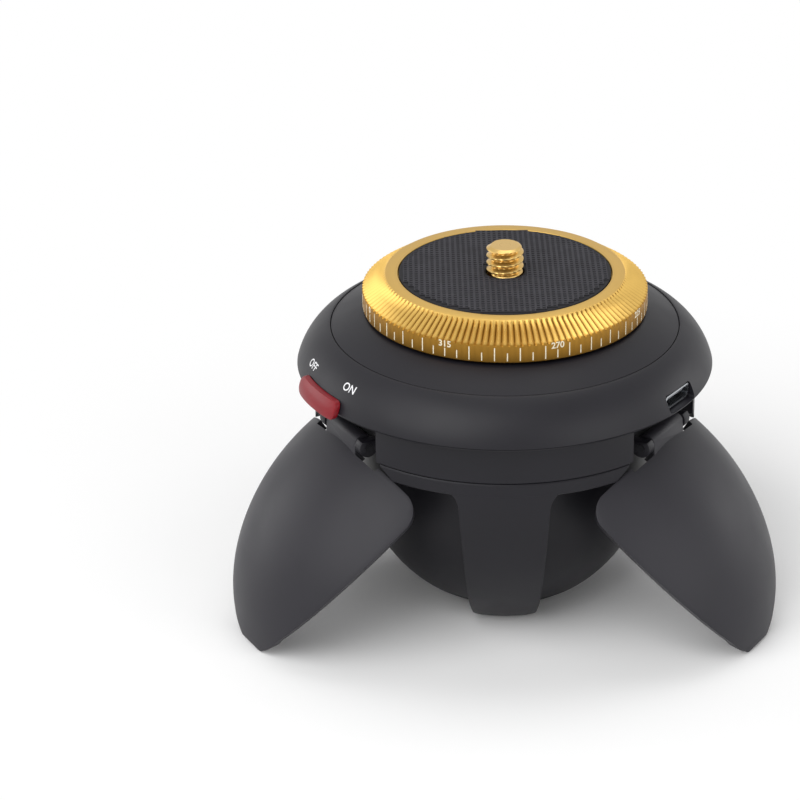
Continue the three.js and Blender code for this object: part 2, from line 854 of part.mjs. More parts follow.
// Hub: carries the dial and passes through the cover to the gear below
function makeHub() {
  const flangeBottom = dialPlateBottom - hubFlangeThickness;
  const bore = spindleRadius + boreGap;
  const headPocket = dialPlateBottom - screwHeadThickness - pinGap;
  const body = solid(turned([
    [bore, hubBottom],
    [hubBarrelRadius, hubBottom],
    [hubBarrelRadius, flangeBottom],
    [hubFlangeRadius, flangeBottom],
    [hubFlangeRadius, dialPlateBottom],
    [screwHeadRadius + pinGap, dialPlateBottom],
    [screwHeadRadius + pinGap, headPocket],
    [0, headPocket],
    [0, hubBottom + spindleDepthInHub + boreGap],
    [bore, hubBottom + spindleDepthInHub + boreGap],
  ], mediumSides));
  const seat = hubScrewSeat();
  const holes = hubScrewAngles().flatMap((angle) => [
    polar(rod(smallScrewHead + pinGap, hubBottom - cutOverrun, seat, smallSides, hubScrewCircle, 0), angle),
    polar(rod(smallScrewRadius + pinGap, hubBottom, dialPlateBottom + cutOverrun, smallSides,
      hubScrewCircle, 0), angle),
  ]);
  return cut(body, holes);
}

function hubScrewSeat() {
  return hubBottom + smallScrewHeadHeight + hubLength / 4;
}

function makeHubScrew() {
  const length = dialPlateBottom + hubScrewBite - hubScrewSeat();
  return screw(smallScrewHead, smallScrewHeadHeight, smallScrewRadius, length)
    .rotateX(degrees(180))
    .translate(hubScrewCircle, 0, dialPlateBottom + hubScrewBite);
}

// Spindle: steel pin from the hub down through the bush, with a groove for the clip
function makeSpindle() {
  const tail = gearPlateBottom - bushBossHeight - spindleTail;
  const grooveTop = gearPlateBottom - bushBossHeight - boreGap;
  const groove = 0.8 * spindleRadius;
  return solid(turned([
    [0, tail],
    [0.85 * spindleRadius, tail],
    [spindleRadius, tail + 0.15 * spindleRadius],
    [spindleRadius, grooveTop - clipThickness - 2 * boreGap],
    [groove, grooveTop - clipThickness - 2 * boreGap],
    [groove, grooveTop],
    [spindleRadius, grooveTop],
    [spindleRadius, hubBottom + spindleDepthInHub],
    [0, hubBottom + spindleDepthInHub],
  ], mediumSides));
}

function makeClip() {
  const top = gearPlateBottom - bushBossHeight - 2 * boreGap;
  return solid(ring(0.8 * spindleRadius + boreGap, clipRadius, top - clipThickness, top, mediumSides));
}

function makeOutputGear() {
  const wheel = prism(gearOutline(outputTeeth, outputModule, idlerPolar), upperGearBottom, hubBottom);
  const boss = rod(outputBossRadius, washerTop, hubBottom, mediumSides);
  const bore = rod(spindleRadius + boreGap, washerTop - cutOverrun, hubBottom + cutOverrun, mediumSides);
  return cut(join(solid(wheel), [boss]), [bore]);
}

const idlerDistance = (outputTeeth + idlerSmallTeeth) * outputModule / 2;
const pinionDistance = (idlerBigTeeth + pinionTeeth) * pinionModule / 2;
const motorAngle = idlerPolar + THREE.MathUtils.radToDeg(Math.acos(
  (idlerDistance ** 2 + motorPolarRadius ** 2 - pinionDistance ** 2) / (2 * idlerDistance * motorPolarRadius),
));
const idlerPlace = new THREE.Vector2(idlerDistance, 0).rotateAround(new THREE.Vector2(), degrees(idlerPolar));
const motorPlace = new THREE.Vector2(motorPolarRadius, 0).rotateAround(new THREE.Vector2(), degrees(motorAngle));
const pinionDirection = THREE.MathUtils.radToDeg(motorPlace.clone().sub(idlerPlace).angle());

function makeIdler() {
  const small = gearOutline(idlerSmallTeeth, outputModule, idlerPolar + 180 + 180 / idlerSmallTeeth);
  const big = gearOutline(idlerBigTeeth, pinionModule, pinionDirection);
  const wheel = prism(big, lowerGearBottom, lowerGearBottom + lowerGearHeight);
  const top = upperGearBottom + upperGearHeight;
  const bore = rod(idlerPinRadius + boreGap, gearPlateTop, top + cutOverrun, smallSides);
  const body = join(solid(wheel), [prism(small, lowerGearBottom + lowerGearHeight / 2, top)]);
  return cut(body, [bore]);
}

function makePinion() {
  const teeth = gearOutline(pinionTeeth, pinionModule, pinionDirection + 180 + 180 / pinionTeeth);
  const wheel = prism(teeth, lowerGearBottom, lowerGearBottom + lowerGearHeight);
  const shaft = rod(motorShaftRadius, gearPlateBottom - motorShaftDepth, lowerGearBottom + boreGap, smallSides);
  return join(solid(wheel), [shaft]);
}

function makeIdlerAxle() {
  const top = upperGearBottom + upperGearHeight + idlerPinProud;
  const collarTop = lowerGearBottom - boreGap;
  return solid(turned([
    [0, gearPlateBottom],
    [idlerPinRadius, gearPlateBottom],
    [idlerPinRadius, gearPlateTop],
    [1.8 * idlerPinRadius, gearPlateTop],
    [1.8 * idlerPinRadius, collarTop],
    [idlerPinRadius, collarTop],
    [idlerPinRadius, top],
    [0, top],
  ], smallSides).translate(idlerPlace.x, idlerPlace.y, 0));
}

function makeBush() {
  const outer = spindleRadius + boreGap + bushWall;
  return solid(turned([
    [spindleRadius + boreGap, gearPlateBottom - bushBossHeight],
    [outer, gearPlateBottom - bushBossHeight],
    [outer, gearPlateTop],
    [outer + bushFlange, gearPlateTop],
    [outer + bushFlange, washerBottom],
    [spindleRadius + boreGap, washerBottom],
  ], mediumSides));
}

// Plate that carries the gears, with the motor and the spindle bush fixed to it
function makeGearPlate() {
  const bushOuter = spindleRadius + 2 * boreGap + bushWall;
  const plate = solid(rod(gearPlateRadius, gearPlateBottom, gearPlateTop, roundSides));
  const boss = rod(bushOuter + bushBossWall, gearPlateBottom - bushBossHeight, gearPlateTop, mediumSides);
  const through = (radius, place) => rod(
    radius,
    gearPlateBottom - bushBossHeight - cutOverrun,
    gearPlateTop + cutOverrun,
    radius > motorSpigotRadius ? mediumSides : smallSides,
    place.x,
    place.y,
  );
  return cut(join(plate, [boss]), [
    through(bushOuter, new THREE.Vector2()),
    through(motorSpigotRadius + pinGap, motorPlace),
    through(idlerPinRadius + boreGap, idlerPlace),
    ...motorScrewPlaces().map((place) => through(motorScrewRadius + pinGap, place)),
    ...ribPolars.map((angle) => (
      through(housingScrewRadius + pinGap, besideRib(angle, housingScrewPolar, housingScrewSide)))),
  ]);
}

function motorScrewPlaces() {
  return [-1, 1].map((side) => (
    new THREE.Vector2(motorPolarRadius, side * motorScrewCircle)
      .rotateAround(new THREE.Vector2(), degrees(motorAngle))));
}

function makeMotor() {
  const bottom = gearPlateBottom - motorLength;
  const edge = 0.08 * motorRadius;
  const endBell = 0.35 * motorRadius;
  const spigotTop = gearPlateBottom + 0.6 * gearPlateThickness;
  const can = solid(turned([
    [0, bottom - 0.12 * motorRadius],
    [endBell, bottom - 0.12 * motorRadius],
    [endBell, bottom],
    [motorRadius - edge, bottom],
    [motorRadius, bottom + edge],
    [motorRadius, gearPlateBottom],
    [motorSpigotRadius, gearPlateBottom],
    [motorSpigotRadius, spigotTop],
    [0, spigotTop],
  ], mediumSides).translate(motorPlace.x, motorPlace.y, 0));
  const shaftHole = rod(
    motorShaftRadius + pinGap,
    gearPlateBottom - motorShaftDepth - turnedGap,
    gearPlateTop,
    smallSides,
    motorPlace.x,
    motorPlace.y,
  );
  const depth = gearPlateTop - motorScrewLength - turnedGap;
  return cut(can, [shaftHole, ...motorScrewPlaces().map((place) => (
    rod(motorScrewRadius + pinGap, depth, gearPlateTop, smallSides, place.x, place.y)))]);
}

// Battery: an upright pouch cell in a cradle on the floor of the ball
function batteryOutline(growth) {
  const half = batteryThickness / 2 + growth;
  return roundedOutline(half, batteryWidth / 2 + growth, batteryRadius, 4)
    .map(([x, y]) => [x + batteryOffset, y]);
}

function makeBattery() {
  const bottom = ballFloor + cradleBase + boreGap;
  return solid(prism(batteryOutline(0), bottom, bottom + batteryHeight));
}

function makeCradle() {
  const top = ballFloor + cradleHeight;
  const block = solid(prism(batteryOutline(cradleFit + cradleWall), ballFloor, top));
  const inner = ballRadius - ballWall - 2 * turnedGap;
  const steps = 6;
  const room = [[0, ballFloor]];
  for (let step = 0; step <= steps; step += 1) {
    const height = ballFloor + cradleHeight * step / steps;
    room.push([circleHeight(inner, height - ballCentreHeight), height]);
  }
  room.push([0, top]);
  const pocket = prism(batteryOutline(cradleFit), ballFloor + cradleBase, top + cutOverrun);
  return cut(block.intersect(solid(turned(room, roundSides))), [pocket]);
}

// Circuit board with a tongue that holds the charging socket at the rim
function makeBoard() {
  const top = gearPlateTop + boardThickness;
  const middle = (boardStart + boardEnd) / 2;
  const half = (boardEnd - boardStart) / 2;
  const outline = [
    ...arc(0, 0, boardOuter, middle - half, middle + half, 10),
    ...arc(0, 0, boardInner, middle + half, middle - half, 10),
  ];
  const tongue = polar(box(
    boardOuter - 2 * boardThickness,
    boardTongueRadius,
    -boardTongueHalf,
    boardTongueHalf,
    gearPlateTop,
    top,
  ), socketPolar);
  const notch = polar(box(
    usbInner() - usbGap,
    boardTongueRadius + cutOverrun,
    -usbWidth / 2 - usbGap / 4,
    usbWidth / 2 + usbGap / 4,
    gearPlateTop - cutOverrun,
    top + cutOverrun,
  ), socketPolar);
  return cut(join(solid(prism(outline, gearPlateTop, top)), [tongue]), [notch]);
}

function usbInner() {
  return rimRadiusAt(rimBottom + usbRise, 0) - usbRecess - usbDepth;
}

function makeUsbSocket() {
  const centre = rimBottom + usbRise;
  const outline = (inset) => roundedOutline(usbWidth / 2 - inset, usbHeight / 2 - inset, usbHeight / 5, 3)
    .map(([side, height]) => [side, centre + height]);
  const shell = outwardPrism(outline(0), usbInner(), usbInner() + usbDepth);
  const mouth = outwardPrism(outline(usbWall), usbInner() + usbDepth / 4, usbInner() + usbDepth + cutOverrun);
  const tongueHalf = usbTongueShare * usbWidth;
  const tongue = outwardPrism([
    [-tongueHalf, centre],
    [tongueHalf, centre],
    [tongueHalf, centre + 2 * usbWall],
    [-tongueHalf, centre + 2 * usbWall],
  ], usbInner() + usbDepth / 8, usbInner() + 0.85 * usbDepth);
  return join(cut(solid(shell), [mouth]), [tongue]);
}

function makeReceiver() {
  const bottom = gearPlateTop + boardThickness;
  const half = receiverWidth / 2;
  const block = box(receiverRadius - receiverDepth, receiverRadius, -half, half, bottom, bottom + receiverHeight);
  const lens = new THREE.SphereGeometry(receiverLens, 12, 8)
    .translate(receiverRadius - receiverLens / 4, 0, bottom + receiverHeight / 2);
  return join(solid(block), [lens]);
}

// Slide switch: a bar on the rim with a stem that reaches the switch inside
function makeKnob() {
  const centre = rimBottom + switchRise;
  const half = switchHeight / 2;
  const bar = turned([
    ...rimArc(switchGap, centre - half - cutOverrun, centre + half + cutOverrun, 6),
    ...rimArc(switchProud, centre - half - cutOverrun, centre + half + cutOverrun, 6).reverse(),
  ], 2 * roundSides);
  const outline = roundedOutline(switchLength / 2, half, 0.8 * half, 4)
    .map(([side, height]) => [side, centre + height]);
  const face = polar(outwardPrism(outline, stemTip, lipRadius + switchProud + 2 * cutOverrun), switchPolar);
  const stem = polar(outwardPrism([
    [-stemHalf, centre - stemHeight / 2],
    [stemHalf, centre - stemHeight / 2],
    [stemHalf, centre + stemHeight / 2],
    [-stemHalf, centre + stemHeight / 2],
  ], stemTip, rimRadiusAt(centre, (switchGap + switchProud) / 2)), switchPolar);
  return solid(bar).intersect(solid(face)).add(solid(stem));
}

function makeSwitchBody() {
  const depth = stemTip - pinGap;
  const stemCentre = rimBottom + switchRise;
  const start = -stemHalf - switchTravel - slotGap;
  const end = stemHalf + slotGap;
  const block = box(
    gearPlateRadius - switchBodyWall,
    switchBodyOuter,
    start - switchBodyWall,
    end + switchBodyWall,
    gearPlateTop,
    gearPlateTop + switchBodyHeight,
  );
  const notch = box(
    depth - slotGap,
    switchBodyOuter + cutOverrun,
    start,
    end,
    gearPlateTop - cutOverrun,
    stemCentre + stemHeight / 2 + slotGap,
  );
  return cut(solid(polar(block, switchPolar)), [polar(notch, switchPolar)]);
}

// Petal leg: part of an egg shaped shell with rounded shoulders, a blunt foot and a hinge tab
function petalPoint(height) {
  return petalRadius * circleHeight(petalHalfHeight, height - petalCentreHeight) / petalHalfHeight;
}

function petalSideAngle(height) {
  const radius = petalPoint(height);
  const edge = radius * degrees(60 - THREE.MathUtils.radToDeg(Math.asin(petalSideDistance / radius)));
  const aboveShoulder = Math.max(0, height - (petalTop - petalShoulder));
  const shoulder = petalShoulder - circleHeight(petalShoulder, aboveShoulder);
  return (edge - shoulder) / radius;
}

function petalHalfAngle(height) {
  const footTop = petalFootHeight + petalFootRise;
  if (height >= footTop) {
    return petalSideAngle(height);
  }
  const footEdge = petalPoint(footTop) * petalSideAngle(footTop);
  const roundness = Math.cos(Math.PI / 2 * (footTop - height) / petalFootRise);
  return (petalFootHalf + (footEdge - petalFootHalf) * roundness) / petalPoint(height);
}

function petalHeights() {
  const shoulderStart = petalTop - petalShoulder;
  const footEnd = petalFootHeight + petalFootRise;
  const footShares = [0, 0.2, 0.5, 0.75];
  const sideShares = [0, 0.16, 0.33, 0.5, 0.67, 0.84];
  const shoulderShares = [0, 0.35, 0.65, 0.88, 1];
  return [
    ...footShares.map((share) => petalFootHeight + share * petalFootRise),
    ...sideShares.map((share) => footEnd + share * (shoulderStart - footEnd)),
    ...shoulderShares.map((share) => shoulderStart + share * petalShoulder),
  ];
}

function petalGeometry() {
  const heights = petalHeights();
  const columns = 8;
  const sheets = [0, petalWall].map((depth) => heights.flatMap((height) => {
    const radius = petalPoint(height);
    const normal = new THREE.Vector2(
      radius / petalRadius ** 2,
      (height - petalCentreHeight) / petalHalfHeight ** 2,
    ).setLength(depth);
    return Array.from({ length: columns + 1 }, (unused, column) => {
      const angle = petalHalfAngle(height) * (2 * column / columns - 1);
      const inset = radius - normal.x;
      return [inset * Math.cos(angle), inset * Math.sin(angle), height - normal.y];
    });
  }));
  const positions = sheets.flat(2);
  const at = (sheet, row, column) => (sheet * heights.length + row) * (columns + 1) + column;
  const index = [];
  const quad = (a, b, c, d) => index.push(a, b, c, a, c, d);
  const lastRow = heights.length - 1;
  for (let row = 0; row < lastRow; row += 1) {
    for (let column = 0; column < columns; column += 1) {
      quad(at(0, row, column), at(0, row, column + 1), at(0, row + 1, column + 1), at(0, row + 1, column));
      quad(at(1, row, column + 1), at(1, row, column), at(1, row + 1, column), at(1, row + 1, column + 1));
    }
    quad(at(0, row, columns), at(1, row, columns), at(1, row + 1, columns), at(0, row + 1, columns));
    quad(at(1, row, 0), at(0, row, 0), at(0, row + 1, 0), at(1, row + 1, 0));
  }
  for (let column = 0; column < columns; column += 1) {
    quad(at(1, 0, column), at(1, 0, column + 1), at(0, 0, column + 1), at(0, 0, column));
    quad(at(0, lastRow, column), at(0, lastRow, column + 1), at(1, lastRow, column + 1), at(1, lastRow, column));
  }
  const geometry = new THREE.BufferGeometry();
  geometry.setAttribute('position', new THREE.Float32BufferAttribute(positions, 3));
  geometry.setIndex(index);
  return geometry;
}

function makeLeg() {
  const outerTop = petalPoint(petalTop);
  const rootHeight = petalTop - 2 * petalWall;
  const tab = sidePrism([
    [petalPoint(rootHeight) - petalWall / 2, rootHeight],
    [petalPoint(rootHeight) - 0.05 * petalWall, rootHeight],
    [petalPoint(rootHeight) + 0.1 * petalWall, rootHeight + 0.7 * petalWall],
    ...arc(hingeRadius, hingeHeight, barrelRadius, -30, 135, 5),
    [outerTop - petalWall / 2, petalTop],
  ], -barrelHalf, barrelHalf);
  const notches = [[barrelHalf, notchOuter], [-notchOuter, -barrelHalf]].map(([start, end]) => (
    sidePrism(roundedOutline(petalWall * 3, notchDepth, 0.3 * notchDepth, 3)
      .map(([x, z]) => [x + outerTop - petalWall, z + petalTop]), start, end)));
  const pinHole = sideRod(
    pinRadius + pinGap,
    hingeRadius,
    hingeHeight,
    -barrelHalf - cutOverrun,
    barrelHalf + cutOverrun,
    smallSides,
  );
  return cut(join(cut(solid(petalGeometry()), notches), [tab]), [pinHole]);
}

// The pieces, from the base upwards
add('leg_frame', makeFrame(), ...black);
add('ball_shell', makeBall(), ...black);
add('base_insert', makeInsert(), ...brass);
add('lower_housing', makeHousing(), ...black);
add('rim_shell', makeRim(), ...black);
add('top_cover', makeCover(), ...black);
add('gear_plate', makeGearPlate(), ...whitePlastic);
add('spindle_bush', makeBush(), ...brass);
add('thrust_washer', solid(ring(spindleRadius + pinGap, washerRadius, washerBottom, washerTop, mediumSides)),
  ...steel);
add('idler_axle', makeIdlerAxle(), ...steel);
add('motor', makeMotor(), ...steel);

const batteryBay = new THREE.Group();
batteryBay.rotation.z = degrees(motorAngle + 180);
model.add(batteryBay);
add('battery', makeBattery(), 0x9aa3ad, 0.45, 0.2, batteryBay);
add('battery_cradle', makeCradle(), ...black, batteryBay);

add('main_board', makeBoard(), 0x1f5a3a, 0.5, 0);
const socketBay = new THREE.Group();
socketBay.rotation.z = degrees(socketPolar);
model.add(socketBay);
add('usb_socket', makeUsbSocket(), ...steel, socketBay);
const receiverBay = new THREE.Group();
receiverBay.rotation.z = degrees(receiverPolar);
model.add(receiverBay);
add('ir_receiver', makeReceiver(), 0x17171a, 0.2, 0, receiverBay);
add('switch_body', makeSwitchBody(), 0x26262a, 0.5, 0);
add('switch_knob', makeKnob(), 0xb3202c, 0.35, 0);

add('turntable_hub', makeHub(), ...black);
add('spindle', makeSpindle(), ...steel);
add('retaining_clip', makeClip(), ...steel);
add('output_gear', makeOutputGear(), ...whitePlastic);
add('dial_ring', makeDial(), ...gold);
add('top_pad', makePad(), ...rubber);
add('camera_screw', makeCameraScrew(), ...gold);
hubScrewAngles().forEach((angle, count) => {
  add(`hub_screw_${count + 1}`, solid(polar(makeHubScrew(), angle)), ...steel);
});

const idler = add('idler_gear', makeIdler(), ...whitePlastic);
idler.position.set(idlerPlace.x, idlerPlace.y, 0);
const pinion = add('motor_pinion', makePinion(), ...steel);
pinion.position.set(motorPlace.x, motorPlace.y, 0);

ribPolars.forEach((angle, count) => {
  const post = besideRib(angle, housingScrewPolar, housingScrewSide);
  const tip = housingBottom + sleeveShoulder + housingScrewLength;
  const long = add(`housing_screw_${count + 1}`,
    solid(screw(housingScrewHead, housingScrewHeadHeight, housingScrewRadius, housingScrewLength)), ...steel);
  long.rotation.x = degrees(180);
  long.position.set(post.x, post.y, tip);
  const small = besideRib(angle, frameScrewPolar, frameScrewSide);
  const short = add(`frame_screw_${count + 1}`,
    solid(screw(smallScrewHead, smallScrewHeadHeight, smallScrewRadius, frameScrewLength)), ...steel);
  short.position.set(small.x, small.y, housingFloorTop - frameScrewLength);
});

motorScrewPlaces().forEach((place, count) => {
  const fixing = add(`motor_screw_${count + 1}`,
    solid(screw(motorScrewHead, motorScrewHeadHeight, motorScrewRadius, motorScrewLength)), ...steel);
  fixing.position.set(place.x, place.y, gearPlateTop - motorScrewLength);
});

legPolars.forEach((angle, count) => {
  const side = new THREE.Group();
  side.rotation.z = degrees(angle);
  model.add(side);
  const pin = solid(sideRod(pinRadius, hingeRadius, hingeHeight, -pinHalf, pinHalf, smallSides));
  add(`hinge_pin_${count + 1}`, pin, ...steel, side);
  const hinge = new THREE.Group();
  hinge.position.set(hingeRadius, 0, hingeHeight);
  hinge.rotation.y = -degrees(openAngle);
  side.add(hinge);
  const leg = add(legNames[count], makeLeg(), ...black, hinge);
  leg.position.set(-hingeRadius, 0, -hingeHeight);
});

// The part stands on the tips of its legs, with its box centred over the origin
const group = new THREE.Group();
group.add(model);
const extent = new THREE.Box3().setFromObject(model, true);
const middle = extent.getCenter(new THREE.Vector3());
model.position.set(-middle.x, -middle.y, -extent.min.z);

export default group;
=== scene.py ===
import math

import bpy
from mathutils import Matrix, Vector


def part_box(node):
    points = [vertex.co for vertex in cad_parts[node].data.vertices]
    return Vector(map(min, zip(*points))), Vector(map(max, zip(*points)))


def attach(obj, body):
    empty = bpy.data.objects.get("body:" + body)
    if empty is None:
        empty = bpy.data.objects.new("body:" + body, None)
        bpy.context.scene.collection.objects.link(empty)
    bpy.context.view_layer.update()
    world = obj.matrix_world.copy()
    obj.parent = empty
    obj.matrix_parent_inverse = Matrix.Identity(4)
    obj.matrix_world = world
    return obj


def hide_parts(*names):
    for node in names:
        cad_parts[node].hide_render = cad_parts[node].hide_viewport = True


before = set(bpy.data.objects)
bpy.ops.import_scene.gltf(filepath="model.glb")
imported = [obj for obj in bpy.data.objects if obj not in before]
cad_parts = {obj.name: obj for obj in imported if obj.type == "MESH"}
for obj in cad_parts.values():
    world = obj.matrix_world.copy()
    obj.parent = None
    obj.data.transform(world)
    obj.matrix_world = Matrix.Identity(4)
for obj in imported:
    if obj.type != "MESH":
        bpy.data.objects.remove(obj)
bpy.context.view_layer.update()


# Ball housing: the round tub that holds the battery and the motor under the body. It is
# injection moulded in black ABS with a fine spark finish, open at the top and clipped
# between the base disc and the flange of the leg frame.
mm = 0.001
spindle_low, spindle_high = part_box("spindle")
pan_foot = Vector((
    (spindle_low.x + spindle_high.x) / 2,
    (spindle_low.y + spindle_high.y) / 2,
    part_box("base_insert")[0].z,
))
ball_radius = 25.36
ball_centre = 21.8
ball_wall = 1.96
ball_foot = 2.5
ball_floor = ball_foot + 1.8
ball_top = 32.7
boss_clearance = 6.5
merge_distance = 0.0005

# Numbers of a colour Mix node's sockets: its factor, its two colours and its result.
mix_share, mix_from, mix_to, mixed = 0, 6, 7, 2


def linear(hex_colour):
    """The linear colour of an sRGB hex value."""
    parts = [int(hex_colour[i:i + 2], 16) / 255 for i in (1, 3, 5)]
    return [c / 12.92 if c <= 0.04045 else ((c + 0.055) / 1.055) ** 2.4 for c in parts] + [1]


def add_node(tree, kind, inputs=(), **settings):
    """Adds a node, gives it its settings, and sets or links its input sockets."""
    node = tree.nodes.new(kind)
    for name, value in settings.items():
        setattr(node, name, value)
    for socket, value in dict(inputs).items():
        if isinstance(value, bpy.types.NodeSocket):
            tree.links.new(value, node.inputs[socket])
        else:
            node.inputs[socket].default_value = value
    return node


def new_finish(name, **sockets):
    """A material with its shader's constant sockets set, ready for its patterns."""
    material = bpy.data.materials.new(name)
    material.use_nodes = True
    shader = material.node_tree.nodes["Principled BSDF"]
    for socket, value in sockets.items():
        shader.inputs[socket.replace("_", " ")].default_value = value
    return material, material.node_tree, shader


def moulded_abs(name, dark, light, smooth, rough, grain):
    """ABS, or acetal, from a spark eroded mould: the fine pits scatter the light into a soft
    satin sheen. The real grain is about 0.05 mm, and it is drawn coarser so that it shows."""
    cloud_size = 9 * mm
    pit_depth = 0.03 * mm
    material, tree, shader = new_finish(name, IOR=1.54, Specular_IOR_Level=0.24)
    place = add_node(tree, "ShaderNodeTexCoord").outputs["Object"]
    cloud = add_node(tree, "ShaderNodeTexNoise", {
        "Vector": place, "Scale": 1 / cloud_size, "Detail": 3})
    pits = add_node(tree, "ShaderNodeTexNoise", {
        "Vector": place, "Scale": 1 / (grain * mm), "Detail": 2})
    tone = add_node(tree, "ShaderNodeMix", {
        mix_share: cloud.outputs["Fac"], mix_from: linear(dark), mix_to: linear(light)},
        data_type="RGBA")
    satin = add_node(tree, "ShaderNodeMapRange", {
        "Value": cloud.outputs["Fac"], "From Min": 0.3, "From Max": 0.7,
        "To Min": smooth, "To Max": rough})
    bump = add_node(tree, "ShaderNodeBump", {
        "Height": pits.outputs["Fac"], "Strength": 0.22, "Distance": pit_depth})
    tree.links.new(tone.outputs[mixed], shader.inputs["Base Color"])
    tree.links.new(satin.outputs["Result"], shader.inputs["Roughness"])
    tree.links.new(bump.outputs["Normal"], shader.inputs["Normal"])
    return material


def drawn(name, points):
    """Draws an open line of points in edit mode, one vertex after another."""
    bpy.ops.object.select_all(action="DESELECT")
    bpy.ops.mesh.primitive_plane_add(size=mm)
    piece = bpy.context.object
    piece.name = piece.data.name = name
    bpy.ops.object.mode_set(mode="EDIT")
    bpy.ops.mesh.select_all(action="SELECT")
    bpy.ops.mesh.merge(type="CENTER")
    here = Vector((0, 0, 0))
    for count, point in enumerate(points):
        step = (Vector(point) - here) * mm
        if count:
            bpy.ops.mesh.extrude_vertices_move(TRANSFORM_OT_translate={"value": step})
        else:
            bpy.ops.transform.translate(value=step)
        here = Vector(point)
    bpy.ops.mesh.select_all(action="SELECT")
    return piece


def faces_outward():
    """Turns all faces of the piece in edit mode outwards, and leaves edit mode."""
    bpy.ops.mesh.select_all(action="SELECT")
    bpy.ops.mesh.normals_make_consistent(inside=False)
    bpy.ops.object.mode_set(mode="OBJECT")


def turned(name, outline, sides=144):
    """Spins an outline of radius and height round the pan axis, as on a lathe."""
    piece = drawn(name, [(radius, 0, height) for radius, height in outline])
    bpy.ops.mesh.spin(steps=sides, angle=2 * math.pi, center=(0, 0, 0), axis=(0, 0, 1))
    bpy.ops.mesh.select_all(action="SELECT")
    bpy.ops.mesh.remove_doubles(threshold=merge_distance * mm)
    bpy.ops.mesh.dissolve_degenerate(threshold=merge_distance * mm)
    faces_outward()
    return piece


def picked(piece):
    """Selects one piece alone and makes it the active one."""
    bpy.ops.object.select_all(action="DESELECT")
    piece.select_set(True)
    bpy.context.view_layer.objects.active = piece
    return piece


def seated(piece, turn=0):
    """Turns a piece to its place round the pan axis and sets it on the base."""
    picked(piece)
    piece.rotation_euler = (0, 0, math.radians(turn))
    piece.location = pan_foot
    bpy.ops.object.transform_apply(location=True, rotation=True, scale=True)
    return piece


def dressed(piece, material, body, nodes=(), smooth=32):
    """Gives a seated piece its finish, its smooth shading, the body it rides on and the
    solids it stands for. Edges that turn by more than smooth degrees stay sharp."""
    picked(piece)
    piece.data.materials.clear()
    piece.data.materials.append(material)
    bpy.ops.object.shade_smooth_by_angle(angle=math.radians(smooth))
    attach(piece, body)
    if nodes:
        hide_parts(*nodes)
    return piece


def ball_skin(radius, low, steps):
    """Radius and height up a round wall of the ball, from a low height to the ball's top."""
    heights = [low + (ball_top - low) * step / steps for step in range(steps + 1)]
    return [(math.sqrt(radius ** 2 - (height - ball_centre) ** 2), height) for height in heights]


black_abs = moulded_abs("moulded_black_abs", "#151419", "#1b1a20", 0.42, 0.5, 0.32)
ball_outside = ball_skin(ball_radius, ball_foot, 32)
ball_inside = ball_skin(ball_radius - ball_wall, ball_floor, 16)
ball = turned("ball_housing", ball_outside + ball_inside[::-1] + [
    (boss_clearance, ball_floor), (boss_clearance, ball_foot), ball_outside[0]])
dressed(seated(ball), black_abs, "body", ["ball_shell"])


# Leg frame: a base disc, three ribs that cup the ball, and the flange under the body, all
# one black ABS moulding. Its edges are rounded, so they catch a thin line of light.
frame_top = 33.7
flange_radius = 33
flange_hole = 20.8
flange_edge = 0.2
skirt_inner = flange_radius - 0.9
skirt_bottom = frame_top - 2.5
skirt_edge = 0.25
overshoot = 1
skirt_low = skirt_bottom - overshoot
skirt_high = frame_top + overshoot
leg_polars = {"left": 210, "right": 330, "rear": 90}
petal_room = 27.9
gap_low_half = 15.7
gap_high_half = 10.3
gap_depth = 8
rib_polars = (270, 30, 150)
rib_sweep_height = 38.15
rib_side = 8.85
rib_reach = 40
rib_shoulder_height = 26
rib_foot_radius = 12.2
rib_gap = 0.3
rib_fillet = 4.5
rib_top_half = 7.6
fillet_start = ball_top - rib_fillet
toe_height = 1.5
toe_half = 3.9
toe_round = 1.6
rib_widths = ((toe_height, 5.5), (5, 6), (22, 7.2), (fillet_start, rib_top_half))
bush_hole = 4.25
boss_radius = 6.2
boss_top = 8.3
base_thickness = 2.2


def applied(piece, modifier):
    """Applies a modifier to its piece."""
    picked(piece)
    bpy.ops.object.modifier_apply(modifier=modifier.name)
    return piece


def bevelled(piece, width, segments=2, angle=40):
    """Rounds the edges of a piece that turn by more than an angle."""
    edge = piece.modifiers.new("edge", "BEVEL")
    edge.width = width * mm
    edge.segments = segments
    edge.limit_method = "ANGLE"
    edge.angle_limit = math.radians(angle)
    return applied(piece, edge)


def carved(piece, tool, operation="DIFFERENCE"):
    """Cuts a piece with another one, or joins the two, and clears the second away. The
    manifold solver leaves a closed mesh, the same on every run."""
    cut = piece.modifiers.new("cut", "BOOLEAN")
    cut.operation = operation
    cut.solver = "MANIFOLD"
    cut.object = tool
    applied(piece, cut)
    bpy.data.objects.remove(tool)
    return piece


def slab(name, points, push):
    """Fills a closed outline of points and pushes it out by push."""
    piece = drawn(name, points)
    bpy.ops.mesh.edge_face_add()
    bpy.ops.mesh.extrude_region_move(TRANSFORM_OT_translate={"value": Vector(push) * mm})
    faces_outward()
    return piece


def bar(name, start, sides, heights, length):
    """A square bar that runs outwards from start, between two sides and two heights."""
    (left, right), (low, high) = sides, heights
    corners = [(start, left, low), (start, left, high), (start, right, high), (start, right, low)]
    return slab(name, corners, (length, 0, 0))


